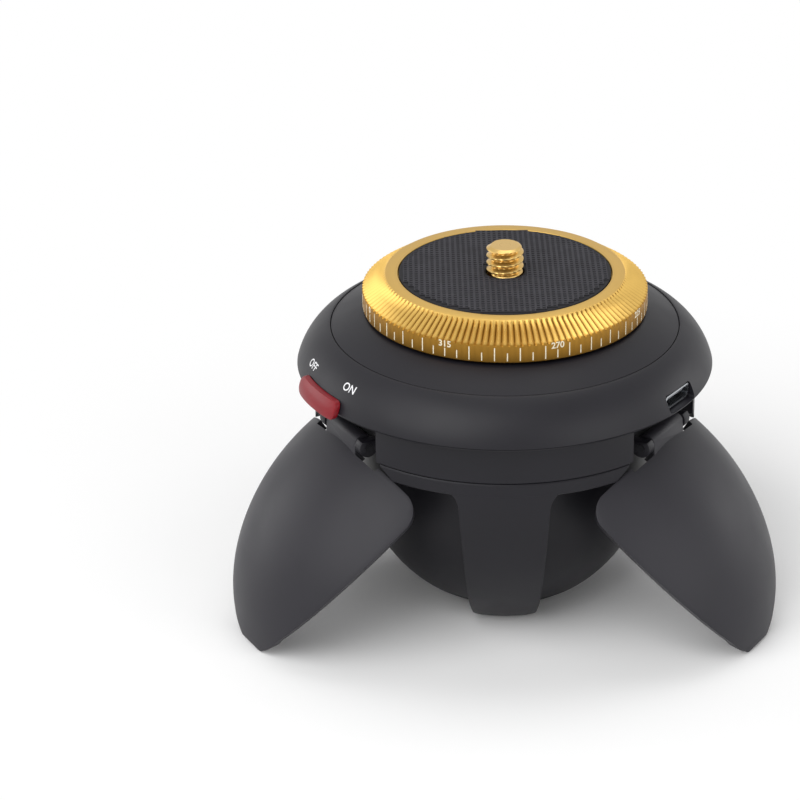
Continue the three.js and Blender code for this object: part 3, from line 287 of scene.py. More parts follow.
def block(name, columns, rows, place):
    """Lays out a grid one layer thick, with each corner where place puts it."""
    bpy.ops.object.select_all(action="DESELECT")
    bpy.ops.mesh.primitive_grid_add(x_subdivisions=columns, y_subdivisions=rows, size=2)
    piece = bpy.context.object
    piece.name = piece.data.name = name
    bpy.ops.object.mode_set(mode="EDIT")
    bpy.ops.mesh.select_all(action="SELECT")
    bpy.ops.mesh.extrude_region_move(TRANSFORM_OT_translate={"value": (0, 0, 1)})
    bpy.ops.object.mode_set(mode="OBJECT")
    for vertex in piece.data.vertices:
        vertex.co = Vector(place(*vertex.co)) * mm
    bpy.ops.object.mode_set(mode="EDIT")
    faces_outward()
    return piece


def turn_only(piece, turn):
    """Turns a piece about the pan axis before it is joined to another."""
    piece.data.transform(Matrix.Rotation(math.radians(turn), 4, "Z"))
    return piece


def rib_half(height):
    """Half of a rib's width: a rounded toe, slowly widening sides and a fillet on top."""
    if height < toe_height:
        down = (toe_height - height) / toe_height
        return toe_half + toe_round * math.sqrt(max(0, 1 - down ** 2))
    for (low, low_half), (high, high_half) in zip(rib_widths, rib_widths[1:]):
        if height < high:
            return low_half + (high_half - low_half) * (height - low) / (high - low)
    up = min(1, (height - fillet_start) / rib_fillet)
    return rib_top_half + rib_fillet * (1 - math.sqrt(max(0, 1 - up * up)))


def rib_place(across, up, layer):
    """A corner of a rib: on the outer sweep, or on the inside that follows the ball. The
    rows crowd a little towards the toe and the fillet."""
    rib_top = frame_top - 0.5
    share = (up + 1) / 2
    height = rib_top * (share - 0.09 * math.sin(4 * math.pi * share) / math.pi)
    side = across * rib_half(height)
    radius = flange_radius * math.sqrt(1 - (min(0, height - ball_top) / rib_sweep_height) ** 2)
    if layer > 0.5:
        if abs(side) > rib_side and height > rib_shoulder_height:
            radius = skirt_inner
        elif height < base_thickness:
            radius = rib_foot_radius
        else:
            radius = math.sqrt((ball_radius + rib_gap) ** 2 - (height - ball_centre) ** 2)
    return math.sqrt(radius ** 2 - side ** 2), side, height


flange = turned("leg_frame_moulding", [
    (flange_hole, ball_top), (skirt_inner, ball_top), (skirt_inner, skirt_bottom + 0.3),
    (skirt_inner + skirt_edge, skirt_bottom), (flange_radius - skirt_edge, skirt_bottom),
    (flange_radius, skirt_bottom + skirt_edge), (flange_radius, frame_top - flange_edge),
    (flange_radius - flange_edge, frame_top), (flange_hole, frame_top), (flange_hole, ball_top)])
for polar in leg_polars.values():
    gap = slab("leg_gap", [
        (petal_room, -gap_low_half, skirt_low), (petal_room, -gap_high_half, skirt_high),
        (petal_room, gap_high_half, skirt_high), (petal_room, gap_low_half, skirt_low)],
        (gap_depth, 0, 0))
    carved(flange, turn_only(gap, polar))
channel = turned("petal_channel", [
    (petal_room, skirt_low), (skirt_inner, skirt_low), (skirt_inner, skirt_high),
    (petal_room, skirt_high), (petal_room, skirt_low)])
for polar in rib_polars:
    keep = bar("rib_shoulder", 0, (-rib_side, rib_side),
               (skirt_low - overshoot, skirt_high + overshoot), rib_reach)
    carved(channel, turn_only(keep, polar))
carved(flange, channel)
for polar in rib_polars:
    rib = bevelled(block("rib", 20, 40, rib_place), 0.4, segments=3, angle=50)
    carved(flange, turn_only(rib, polar), "UNION")
base = turned("base_disc", [
    (bush_hole, 0), (12.7, 0), (13.2, 0.2), (16.09, base_thickness),
    (boss_radius, base_thickness), (boss_radius, boss_top), (bush_hole, boss_top),
    (bush_hole, 0)])
carved(flange, base, "UNION")
dressed(seated(flange), black_abs, "body", ["leg_frame"])


# Tripod bush: a brass insert with a 1/4 inch socket, turned on a lathe and pressed into the
# base disc from below. It is a solid of the frame and only gets its finish here.
def turned_metal(name, colour, rough, streak):
    """Metal turned on a lathe: fine rings round the pan axis, and a soft shine. Real tool
    marks are under 0.1 mm apart, and they are drawn at 0.25 mm so that they show."""
    ring_spacing = 0.25 * mm
    ring_depth = 0.02 * mm
    material, tree, shader = new_finish(name, Metallic=1.0)
    place = add_node(tree, "ShaderNodeTexCoord").outputs["Object"]
    middle = add_node(tree, "ShaderNodeMapping", {
        "Vector": place, "Location": (-pan_foot.x, -pan_foot.y, 0)})
    apart = add_node(tree, "ShaderNodeSeparateXYZ", {"Vector": middle.outputs["Vector"]})
    flat = add_node(tree, "ShaderNodeCombineXYZ", {
        "X": apart.outputs["X"], "Y": apart.outputs["Y"]})
    radius = add_node(tree, "ShaderNodeVectorMath", {0: flat.outputs["Vector"]},
                      operation="LENGTH")
    rings = add_node(tree, "ShaderNodeCombineXYZ", {
        "X": radius.outputs["Value"], "Z": apart.outputs["Z"]})
    marks = add_node(tree, "ShaderNodeTexNoise", {
        "Vector": rings.outputs["Vector"], "Scale": 1 / ring_spacing, "Detail": 4})
    shine = add_node(tree, "ShaderNodeMapRange", {
        "Value": marks.outputs["Fac"], "From Min": 0.3, "From Max": 0.7,
        "To Min": rough - streak, "To Max": rough + streak})
    darker = [part * 0.8 for part in linear(colour)[:3]] + [1]
    tone = add_node(tree, "ShaderNodeMix", {
        mix_share: marks.outputs["Fac"], mix_from: darker, mix_to: linear(colour)},
        data_type="RGBA")
    bump = add_node(tree, "ShaderNodeBump", {
        "Height": marks.outputs["Fac"], "Strength": 0.12, "Distance": ring_depth})
    tree.links.new(tone.outputs[mixed], shader.inputs["Base Color"])
    tree.links.new(shine.outputs["Result"], shader.inputs["Roughness"])
    tree.links.new(bump.outputs["Normal"], shader.inputs["Normal"])
    return material


def refinish(node, material):
    """Gives a solid of the frame its finish."""
    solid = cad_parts[node]
    if not solid.data.materials:
        solid.data.materials.append(material)
    for place in solid.material_slots:
        place.material = material


bare_brass = turned_metal("turned_brass", "#c9a554", 0.3, 0.07)
refinish("base_insert", bare_brass)


# Lower housing: the collar that the legs hinge on, moulded in black ABS, with a lip that
# meets the rim, three pockets for the hinge barrels and a pair of lugs in each pocket.
body_sides = 216
housing_bottom = 33.8
collar_hole = 26.4
collar_top = 39.8
collar_ceiling = 40.9
rim_bottom = 41.6
lip_step = 32.64
lip_radius = 35.5
lip_spread = 2.3
lip_rise = 1.4
pocket_radius = 27.6
pocket_half = 10.9
pocket_top = 40
pocket_depth = 10
hinge_radius = 30.6
hinge_height = 34.9
lug_root = 27.3
lug_radius = 1.7
lug_near = 5.6
lug_width = 1.8
lug_step = housing_bottom + 2.2


def arc(centre_x, centre_y, radius, start, end, steps):
    """Points on an arc, from start to end in degrees."""
    angles = [math.radians(start + (end - start) * step / steps) for step in range(steps + 1)]
    return [(centre_x + radius * math.cos(a), centre_y + radius * math.sin(a)) for a in angles]


lip_curve = [(flange_radius + lip_spread * (1 - across), collar_top + lip_rise * up)
             for across, up in arc(0, 0, 1, 0, 90, 8)]
collar = turned("lower_housing_moulding", [
    (collar_hole, housing_bottom), (flange_radius - flange_edge, housing_bottom),
    (flange_radius, housing_bottom + flange_edge)] + lip_curve + [
    (lip_radius, rim_bottom - 0.4), (lip_radius + 0.1, rim_bottom - 0.2),
    (lip_radius - 0.15, rim_bottom), (lip_step, rim_bottom), (lip_step, collar_ceiling),
    (collar_hole, collar_ceiling), (collar_hole, housing_bottom)], body_sides)
for polar in leg_polars.values():
    pocket = bar("hinge_pocket", pocket_radius, (-pocket_half, pocket_half),
                 (housing_bottom - overshoot, pocket_top), pocket_depth)
    carved(collar, turn_only(bevelled(pocket, 0.3, segments=3), polar))
eye = arc(hinge_radius, hinge_height, lug_radius, 180, 405, 18)
lug_outline = [(lug_root, housing_bottom), (hinge_radius - lug_radius, housing_bottom)] + eye + [
    (hinge_radius, lug_step), (lug_root, lug_step)]
for polar in leg_polars.values():
    for start in (-lug_near - lug_width, lug_near):
        lug = slab("hinge_lug", [(x, start, z) for x, z in lug_outline], (0, lug_width, 0))
        carved(collar, turn_only(bevelled(lug, 0.12), polar), "UNION")
dressed(seated(collar), black_abs, "body", ["lower_housing"])


# Rim: the rounded outer wall of the saucer, a separate black ABS moulding that snaps over
# the lip. It has the slot for the power switch and the recess for the charging socket, and
# a thin bead along its top edge, where it meets the cover.
rim_arc = 11
rim_arc_radius = 25.24
rim_arc_height = 38.9
rim_top = 48.6
rim_wall = 1.8
rim_break = 0.12
rim_steps = 28
inner_heights = (46.4, 45, 43.5, 42.4, rim_bottom)
bead = ((0.32, 0.02), (0.17, 0.06), (0.04, 0.02), (0, -0.1))
ledge_depth = 1.4
ledge_width = 1.2
cut_start = 28.5
cut_depth = 10
switch_polar = 209
switch_height = 42.85
slot_ends = (-4.8, 1.8)
slot_half = 0.9
socket_polar = 327
socket_height = 43.2
socket_half_width = 4
socket_half_height = 1.475
socket_corner = 0.61


def rim_radius(height, offset=0):
    """Radius of the rim's outer wall at a height, moved out by offset."""
    return rim_arc_radius + math.sqrt((rim_arc + offset) ** 2 - (height - rim_arc_height) ** 2)


def rounded(half_width, half_height, radius, steps):
    """A rectangle with round corners."""
    x, y = half_width - radius, half_height - radius
    return (arc(x, y, radius, 0, 90, steps) + arc(-x, y, radius, 90, 180, steps)
            + arc(-x, -y, radius, 180, 270, steps) + arc(x, -y, radius, 270, 360, steps))


outer = [(rim_radius(rim_bottom + rim_break) - 0.04, rim_bottom)]
for step in range(rim_steps + 1):
    climb = (rim_top - 2 * rim_break - rim_bottom) * step / rim_steps
    height = rim_bottom + rim_break + climb
    outer.append((rim_radius(height), height))
seam = rim_radius(rim_top) - 0.4
ledge = [(seam, rim_top - ledge_depth), (seam - ledge_width, rim_top - ledge_depth),
         (seam - ledge_width, rim_top - 2)]
inner = [(rim_radius(height, -rim_wall), height) for height in inner_heights]
rim = turned("rim_moulding", outer + [(seam + out, rim_top + up) for out, up in bead]
             + ledge + inner + [outer[0]], body_sides)
slot = bar("switch_slot", cut_start, slot_ends,
           (switch_height - slot_half, switch_height + slot_half), cut_depth)
carved(rim, turn_only(slot, switch_polar))
recess_outline = rounded(socket_half_width, socket_half_height, socket_corner, 6)
recess = slab("socket_recess", [(cut_start, y, socket_height + z) for y, z in recess_outline],
              (cut_depth, 0, 0))
carved(rim, turn_only(recess, socket_polar))
dressed(seated(rim), black_abs, "body", ["rim_shell"])


# Top cover: the black ABS lid inside the rim, with a flat land under the dial and a slope
# that carries on the curve of the rim. Three screws from below hold it down.
cover_land = 51.4
cover_hole = 14.7
cover_wall = 1.8
cover_edge = seam - 0.12
cover_foot = cover_edge - 1.6
land_radius = 24.1
slope_start = 24.4
slope_crown = 0.12
slope_steps = 10
slope = [(slope_start + (cover_edge - slope_start) * s,
          cover_land - (cover_land - rim_top) * (s + slope_crown * s * (s - 1)))
         for s in [step / slope_steps for step in range(slope_steps + 1)]]
cover = turned("top_cover_moulding", [
    (cover_hole, cover_land), (land_radius, cover_land)] + slope + [
    (cover_edge, rim_top - ledge_depth), (cover_foot, rim_top - ledge_depth),
    (slope_start, cover_land - cover_wall), (cover_hole, cover_land - cover_wall),
    (cover_hole, cover_land)], body_sides)
dressed(seated(cover), black_abs, "body", ["top_cover"])


# Gear train and motor, sealed inside the body: steel shafts and screws, brass bush, acetal
# gears on a moulded plate, and a small can motor that drives the turntable.
plain_steel = turned_metal("ground_steel", "#b9bcc0", 0.28, 0.08)
white_acetal = moulded_abs("white_acetal", "#dcd9cf", "#e8e5dc", 0.4, 0.48, 0.4)
for node in ("spindle", "retaining_clip", "thrust_washer", "idler_axle", "motor", "motor_pinion"):
    refinish(node, plain_steel)
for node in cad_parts:
    if "_screw_" in node:
        refinish(node, plain_steel)
refinish("spindle_bush", bare_brass)
for node in ("gear_plate", "output_gear", "idler_gear"):
    refinish(node, white_acetal)
refinish("turntable_hub", black_abs)


# Battery, board, switch and receiver, also inside: a pouch cell in a grey wrap, a green
# glass fibre board, a switch with a black body and a tinted infrared window. The charging
# socket, pressed from steel, shows in its recess in the rim.
def layered(name, base, line, rough, spacing):
    """A sheet material with fine lines, such as woven glass under lacquer or a film wrap."""
    material, tree, shader = new_finish(name, Roughness=rough)
    place = add_node(tree, "ShaderNodeTexCoord").outputs["Object"]
    weave = add_node(tree, "ShaderNodeTexWave", {
        "Vector": place, "Scale": 1 / (spacing * mm), "Distortion": 1.5, "Detail": 2},
        bands_direction="DIAGONAL")
    tone = add_node(tree, "ShaderNodeMix", {
        mix_share: weave.outputs["Fac"], mix_from: linear(base), mix_to: linear(line)},
        data_type="RGBA")
    tree.links.new(tone.outputs[mixed], shader.inputs["Base Color"])
    return material


refinish("battery", layered("battery_film_wrap", "#8f98a2", "#9da5ae", 0.42, 4))
refinish("main_board", layered("glass_fibre_board", "#1d5737", "#276644", 0.35, 1.2))
refinish("battery_cradle", black_abs)
refinish("switch_body", black_abs)
refinish("ir_receiver", layered("tinted_window", "#141417", "#1b1b20", 0.12, 2))
refinish("usb_socket", plain_steel)


# Dial: a ring turned from aluminium, its cone cut with 136 flutes so that fingers can grip
# it, then anodised gold. A bare flat ring runs round the pad, and the flutes end short of it.
dial_radius = 24.45
dial_inner = 20.6
dial_hole = 3.28
band_low = 51.9
band_top = 55.4
plate_low = 54.8
plate_top = 57
well_radius = 18.35
cone_inner = 20.4
cone_top = 57.95
cone_angle = math.atan2(cone_top - band_top, dial_radius - cone_inner)
flute_count = 136
flute_depth = 0.5
flute_end_radius = 20.7

# The gold is painted darker in the band under the ink, a painted reflection of dark surroundings,
# and in the valleys of the flutes, a painted shade.
gold = turned_metal("anodised_gold", "#d2ad5f", 0.46, 0.04)
tree = gold.node_tree
shader = tree.nodes["Principled BSDF"]
turned_tone = shader.inputs["Base Color"].links[0].from_socket
place = add_node(tree, "ShaderNodeTexCoord").outputs["Object"]
middle = add_node(tree, "ShaderNodeMapping", {"Vector": place, "Location": -pan_foot})
apart = add_node(tree, "ShaderNodeSeparateXYZ", {"Vector": middle.outputs["Vector"]})
angle = add_node(tree, "ShaderNodeMath", {0: apart.outputs["Y"], 1: apart.outputs["X"]},
                 operation="ARCTAN2")
turns = add_node(tree, "ShaderNodeMath", {
    0: angle.outputs["Value"], 1: flute_count / (2 * math.pi)}, operation="MULTIPLY")
flute = add_node(tree, "ShaderNodeMath", {0: turns.outputs["Value"], 1: 1},
                 operation="FLOORED_MODULO")
falling = add_node(tree, "ShaderNodeMapRange", {
    "Value": flute.outputs["Value"], "From Min": 0.25, "From Max": 0.5,
    "To Min": 0, "To Max": 1})
rising = add_node(tree, "ShaderNodeMapRange", {
    "Value": flute.outputs["Value"], "From Min": 0.5, "From Max": 0.75,
    "To Min": 0, "To Max": 1})
valley = add_node(tree, "ShaderNodeMath", {
    0: falling.outputs["Result"], 1: rising.outputs["Result"]}, operation="SUBTRACT")
above_band = add_node(tree, "ShaderNodeMapRange", {
    "Value": apart.outputs["Z"], "From Min": (band_top - 0.3) * mm,
    "From Max": band_top * mm, "To Min": 0, "To Max": 1})
below_ring = add_node(tree, "ShaderNodeMapRange", {
    "Value": apart.outputs["Z"], "From Min": (cone_top - 0.3) * mm,
    "From Max": (cone_top - 0.1) * mm, "To Min": 1, "To Max": 0})
cone = add_node(tree, "ShaderNodeMath", {
    0: above_band.outputs["Result"], 1: below_ring.outputs["Result"]}, operation="MULTIPLY")
# Painted shade: the valleys of the flutes on the cone are mixed towards a dark gold.
painted_flute_shade_mask = add_node(tree, "ShaderNodeMath", {
    0: valley.outputs["Value"], 1: cone.outputs["Value"]}, operation="MULTIPLY")
deep = add_node(tree, "ShaderNodeMix", {
    mix_share: painted_flute_shade_mask.outputs["Value"], mix_from: turned_tone, mix_to: linear("#7d591c")},
    data_type="RGBA")
# Painted reflection: the band under the ink gets a darker gold, as if it reflected dark
# surroundings.
painted_band_shade = add_node(tree, "ShaderNodeMix", {
    mix_share: above_band.outputs["Result"], mix_from: linear("#9f7631"),
    mix_to: deep.outputs[mixed]}, data_type="RGBA")
tree.links.new(painted_band_shade.outputs[mixed], shader.inputs["Base Color"])

dial = turned("dial_ring_turned", [
    (dial_hole, plate_low), (dial_inner, plate_low), (dial_inner, band_low), (24.2, band_low),
    (24.4, 52.02), (dial_radius, 52.2), (dial_radius, 54.9), (dial_radius, band_top),
    (22.4, 56.69), (20.95, 57.604), (20.5, 57.9), (20.36, cone_top), (18.42, cone_top),
    (well_radius, 57.88), (well_radius, plate_top), (dial_hole, plate_top),
    (dial_hole, plate_low)], 4 * flute_count)
for vertex in dial.data.vertices:
    x, y, z = vertex.co / mm
    radius = math.hypot(x, y)
    if radius > flute_end_radius and z > band_top - 0.1:
        phase = (math.atan2(y, x) / (2 * math.pi) * flute_count) % 1
        depth = flute_depth * (1 - abs(2 * phase - 1))
        lower = radius - depth * math.sin(cone_angle)
        vertex.co = Vector((x * lower / radius, y * lower / radius,
                            z - depth * math.cos(cone_angle))) * mm
dressed(seated(dial), gold, "turntable", ["dial_ring"], smooth=25)


# Scale of the dial: screen printed in white ink in the band, with a mark every 5 degrees,
# longer at every second mark, and a number every 45.
front = 270
number_at_front = 291
mark_spacing = 5
number_spacing = 45
long_length = 2.35
short_length = 1.45
mark_width = 0.18
mark_thickness = 0.03
mark_foot = band_low + 0.4
number_size = 1.55
number_weight = 0.03
number_height = band_low + 2.6
ink_lift = 0.015


def ink(name, colour):
    """Screen printed ink: matt, slightly uneven where the mesh of the screen left it thin."""
    screen_mesh = 0.3 * mm
    material, tree, shader = new_finish(name, Roughness=0.6)
    place = add_node(tree, "ShaderNodeTexCoord").outputs["Object"]
    thin = add_node(tree, "ShaderNodeTexNoise", {
        "Vector": place, "Scale": 1 / screen_mesh, "Detail": 2})
    worn = [part * 0.86 for part in linear(colour)[:3]] + [1]
    tone = add_node(tree, "ShaderNodeMix", {
        mix_share: thin.outputs["Fac"], mix_from: worn, mix_to: linear(colour)},
        data_type="RGBA")
    tree.links.new(tone.outputs[mixed], shader.inputs["Base Color"])
    return material


def lettered(name, words, size, weight):
    """Generic lettering as a thin mesh, centred on its origin."""
    bpy.ops.object.select_all(action="DESELECT")
    bpy.ops.object.text_add()
    text = bpy.context.object
    text.name = name
    text.data.body = words
    text.data.size = size * mm
    text.data.align_x = "CENTER"
    text.data.align_y = "CENTER"
    text.data.extrude = ink_lift * mm
    text.data.offset = weight * mm
    text.data.resolution_u = 4
    bpy.ops.object.convert(target="MESH")
    return bpy.context.object


def joined(name, pieces):
    """Joins pieces into the first one and names it."""
    bpy.ops.object.select_all(action="DESELECT")
    for piece in pieces:
        piece.select_set(True)
    bpy.context.view_layer.objects.active = pieces[0]
    bpy.ops.object.join()
    pieces[0].name = pieces[0].data.name = name
    return pieces[0]


def wrapped(piece, radius, angle, height):
    """Bends a flat print round the band: across becomes an angle, up stays up."""
    for vertex in piece.data.vertices:
        x, y, z = vertex.co / mm
        turn = math.radians(angle) + x / radius
        vertex.co = Vector(((radius + z) * math.cos(turn), (radius + z) * math.sin(turn),
                            height + y)) * mm
    return piece


scale_ink = ink("white_screen_ink", "#efe6cc")
prints = []
for count in range(360 // mark_spacing):
    degrees_shown = mark_spacing * count
    polar = front + number_at_front - degrees_shown
    numbered = degrees_shown % number_spacing == 0
    length = long_length if count % 2 == 1 and not numbered else short_length
    bpy.ops.object.select_all(action="DESELECT")
    bpy.ops.mesh.primitive_grid_add(x_subdivisions=1, y_subdivisions=2, size=1)
    mark = bpy.context.object
    mark.name = "scale_mark"
    bpy.ops.object.mode_set(mode="EDIT")
    bpy.ops.mesh.select_all(action="SELECT")
    bpy.ops.transform.resize(value=(mark_width * mm, length * mm, 1))
    bpy.ops.mesh.extrude_region_move(
        TRANSFORM_OT_translate={"value": (0, 0, mark_thickness * mm)})
    bpy.ops.object.mode_set(mode="OBJECT")
    prints.append(wrapped(mark, dial_radius, polar, mark_foot + length / 2))
    if numbered:
        number = lettered("scale_number", str(degrees_shown), number_size, number_weight)
        prints.append(wrapped(number, dial_radius + ink_lift, polar, number_height))
dressed(seated(joined("dial_scale", prints)), scale_ink, "turntable")


# Pad: a moulded black rubber disc glued into the dial, embossed with a fine square grid of
# raised ridges that grips the camera. The grid stops in steps at the round edge.
pad_radius = 18.2
pad_hole = 3.375
pad_floor = plate_top
pad_top = 58.2
pad_edge = pad_radius - 0.05
pad_shoulder = pad_top - 0.3
grid_foot = pad_top - 0.18
cell_pitch = 0.92
cell_count = 40
grid_skirt = 0.19
ridge_half = 0.14
cell_bevel = 0.1
cell_depth = 0.15


def moulded_rubber(name, colour, dust_and_highlight):
    """Moulded nitrile rubber: dull and slightly dusty. Its raised ridge tops are painted lighter
    than the cells, a painted highlight mottled by dust.
    """
    dust_size = 2.5 * mm
    pore_size = 0.2 * mm
    pore_depth = 0.03 * mm
    material, tree, shader = new_finish(name, Roughness=0.74, IOR=1.52, Specular_IOR_Level=0.3)
    place = add_node(tree, "ShaderNodeTexCoord").outputs["Object"]
    dust = add_node(tree, "ShaderNodeTexNoise", {
        "Vector": place, "Scale": 1 / dust_size, "Detail": 6, "Roughness": 0.7})
    apart = add_node(tree, "ShaderNodeSeparateXYZ", {"Vector": place})
    # Painted highlight: the ridge tops take the lighter colour where the dust noise is high, and
    # the recessed cells stay dark.
    ridge_top_painted_highlight = add_node(tree, "ShaderNodeMapRange", {
        "Value": apart.outputs["Z"], "From Min": pan_foot.z + (pad_top - 0.16) * mm,
        "From Max": pan_foot.z + (pad_top - 0.02) * mm})
    dust_and_painted_highlight = add_node(tree, "ShaderNodeMath", {
        0: ridge_top_painted_highlight.outputs["Result"], 1: dust.outputs["Fac"]}, operation="MULTIPLY")
    tone = add_node(tree, "ShaderNodeMix", {
        mix_share: dust_and_painted_highlight.outputs["Value"], mix_from: linear(colour), mix_to: linear(dust_and_highlight)},
        data_type="RGBA")
    pores = add_node(tree, "ShaderNodeTexNoise", {
        "Vector": place, "Scale": 1 / pore_size, "Detail": 2})
    bump = add_node(tree, "ShaderNodeBump", {
        "Height": pores.outputs["Fac"], "Strength": 0.3, "Distance": pore_depth})
    tree.links.new(tone.outputs[mixed], shader.inputs["Base Color"])
    tree.links.new(bump.outputs["Normal"], shader.inputs["Normal"])
    return material


pad_rubber = moulded_rubber("moulded_pad_rubber", "#161519", "#424147")
disc = turned("pad_disc", [
    (pad_hole, pad_floor), (pad_edge, pad_floor), (pad_edge, pad_shoulder),
    (pad_radius - 0.2, grid_foot), (pad_hole + 0.15, grid_foot), (pad_hole, pad_shoulder),
    (pad_hole, pad_floor)])
bpy.ops.object.select_all(action="DESELECT")
bpy.ops.mesh.primitive_grid_add(x_subdivisions=cell_count, y_subdivisions=cell_count,
                                size=cell_count * cell_pitch * mm, location=(0, 0, pad_top * mm))
grid = bpy.context.object
bpy.ops.object.mode_set(mode="EDIT")
bpy.ops.mesh.select_all(action="DESELECT")
bpy.ops.object.mode_set(mode="OBJECT")
for face in grid.data.polygons:
    reaches = [math.hypot(*grid.data.vertices[v].co.xy) / mm for v in face.vertices]
    face.select = max(reaches) > pad_radius - 0.1 or min(reaches) < pad_hole + 0.2
bpy.ops.object.mode_set(mode="EDIT")
bpy.context.tool_settings.mesh_select_mode = (False, False, True)
bpy.ops.mesh.delete(type="FACE")
bpy.ops.mesh.select_all(action="SELECT")
bpy.ops.mesh.region_to_loop()
bpy.ops.mesh.extrude_edges_move(TRANSFORM_OT_translate={"value": (0, 0, -grid_skirt * mm)})
bpy.ops.mesh.select_all(action="SELECT")
bpy.ops.mesh.normals_make_consistent(inside=False)
bpy.ops.mesh.select_all(action="DESELECT")
bpy.ops.object.mode_set(mode="OBJECT")
for face in grid.data.polygons:
    face.select = abs(face.normal.z) > 0.5
bpy.ops.object.mode_set(mode="EDIT")
bpy.ops.mesh.inset(thickness=ridge_half * mm, depth=0, use_individual=True)
bpy.ops.mesh.inset(thickness=cell_bevel * mm, depth=-cell_depth * mm, use_individual=True)
bpy.ops.object.mode_set(mode="OBJECT")
bpy.context.tool_settings.mesh_select_mode = (True, False, False)
bpy.ops.object.transform_apply(location=True, rotation=True, scale=True)
pad = seated(joined("pad_moulding", [disc, grid]), 2)
dressed(pad, pad_rubber, "turntable", ["top_pad"], smooth=30)


# Camera screw: a 1/4 inch 20 thread cut on brass and plated gold, held under the dial plate
# by its head. The thread runs down into the pad, and its tip is faced flat.
thread_radius = 3.175
thread_pitch = 1.27
thread_depth = 0.78
thread_root = thread_radius - thread_depth
thread_rows = 72
thread_sides = 72
head_radius = 5.2
head_low = 53
head_edge = 0.2
neck_radius = 2.35
neck_top = 57.3
screw_top = 62.8
blank_radius = thread_radius - 0.2
screw = turned("camera_screw_cut", [
    (0, head_low), (head_radius - head_edge, head_low), (head_radius, head_low + head_edge),
    (head_radius, plate_low), (neck_radius, plate_low)] + [
    (blank_radius, neck_top + (screw_top - neck_top) * row / thread_rows)
    for row in range(thread_rows + 1)] + [(0, screw_top)], thread_sides)
for vertex in screw.data.vertices:
    x, y, z = vertex.co / mm
    radius = math.hypot(x, y)
    if z > neck_top - 0.001 and radius > 0.5:
        phase = (z / thread_pitch - math.atan2(y, x) / (2 * math.pi)) % 1
        crest = min(1, max(0, 1.25 * (1 - abs(2 * phase - 1)) - 0.1))
        run_in = min(1, (z - neck_top) / (thread_pitch / 2))
        tip = thread_root + 0.1 * thread_depth + (screw_top - z) * thread_depth * 2.2
        cut_radius = min(thread_root + thread_depth * crest * run_in, tip)
        vertex.co = Vector((x * cut_radius / radius, y * cut_radius / radius, z)) * mm
screw_gold = turned_metal("plated_screw_gold", "#e2bd74", 0.3, 0.04)
dressed(seated(screw), screw_gold, "turntable", ["camera_screw"], smooth=28)


# Power switch: a slider moulded in red ABS that follows the curve of the rim, with rounded
# edges. Its stem goes through the slot to the switch inside. OFF and ON are printed beside
# it on the rim.
switch_length = 13.2
switch_drop = 0.6
switch_half = 1.62
switch_corner = 1.2
switch_gap = 0.15
stem_start = 29.5
stem_length = 6
stem_half_width = 1.5
stem_half_height = 0.8
word_size = 2.0
word_weight = 0.02
off_place = (front - 71.5, 45.2)
on_place = (front - 50.2, 45.9)


def knob_place(across, up, layer):
    """A corner of the slider: laid out flat, then set on the rim's curve."""
    height = switch_half * math.sin(up * math.pi / 2)
    outside = max(0, abs(height) - (switch_half - switch_corner))
    half = switch_length / 2 - switch_corner + math.sqrt(max(0, switch_corner ** 2 - outside ** 2))
    side = half * across
    crown = 1 - 0.12 * (height / switch_half) ** 2 - 0.1 * across ** 4
    height = switch_height - switch_drop + height
    radius = rim_radius(height, switch_gap + crown * layer)
    return math.sqrt(radius ** 2 - side ** 2), side, height


def gloss_abs(name, colour, deep):
    """Red ABS from a polished mould: an even colour, a soft gloss and faint flow marks."""
    flow_size = 3 * mm
    material, tree, shader = new_finish(name, IOR=1.54, Specular_IOR_Level=0.2)
    place = add_node(tree, "ShaderNodeTexCoord").outputs["Object"]
    flow = add_node(tree, "ShaderNodeTexNoise", {
        "Vector": place, "Scale": 1 / flow_size, "Detail": 3})
    tone = add_node(tree, "ShaderNodeMix", {
        mix_share: flow.outputs["Fac"], mix_from: linear(deep), mix_to: linear(colour)},
        data_type="RGBA")
    shine = add_node(tree, "ShaderNodeMapRange", {
        "Value": flow.outputs["Fac"], "To Min": 0.28, "To Max": 0.38})
    tree.links.new(tone.outputs[mixed], shader.inputs["Base Color"])
    tree.links.new(shine.outputs["Result"], shader.inputs["Roughness"])
    return material


def on_rim(piece, polar, height):
    """Lays a flat print on the rim: across goes round it, up climbs its curve."""
    start = math.asin((height - rim_arc_height) / rim_arc)
    for vertex in piece.data.vertices:
        x, y, z = vertex.co / mm
        climb = start + y / rim_arc
        reach = rim_arc + ink_lift + z
        radius = rim_arc_radius + reach * math.cos(climb)
        turn = math.radians(polar) + x / radius
        vertex.co = Vector((radius * math.cos(turn), radius * math.sin(turn),
                            rim_arc_height + reach * math.sin(climb))) * mm
    return piece


red_abs = gloss_abs("gloss_red_abs", "#86141e", "#70101a")
slider = bevelled(block("switch_slider", 30, 10, knob_place), 0.32, segments=3, angle=50)
stem = bar("switch_stem", stem_start, (-stem_half_width, stem_half_width),
           (switch_height - stem_half_height, switch_height + stem_half_height), stem_length)
knob = seated(joined("switch_slider", [slider, stem]), switch_polar)
dressed(knob, red_abs, "power_switch", ["switch_knob"], smooth=35)
switch_words = joined("switch_words", [
    on_rim(lettered("word_off", "OFF", word_size, word_weight), *off_place),
    on_rim(lettered("word_on", "ON", word_size, word_weight), *on_place)])
dressed(seated(switch_words), ink("white_switch_ink", "#eeeef0"), "body")


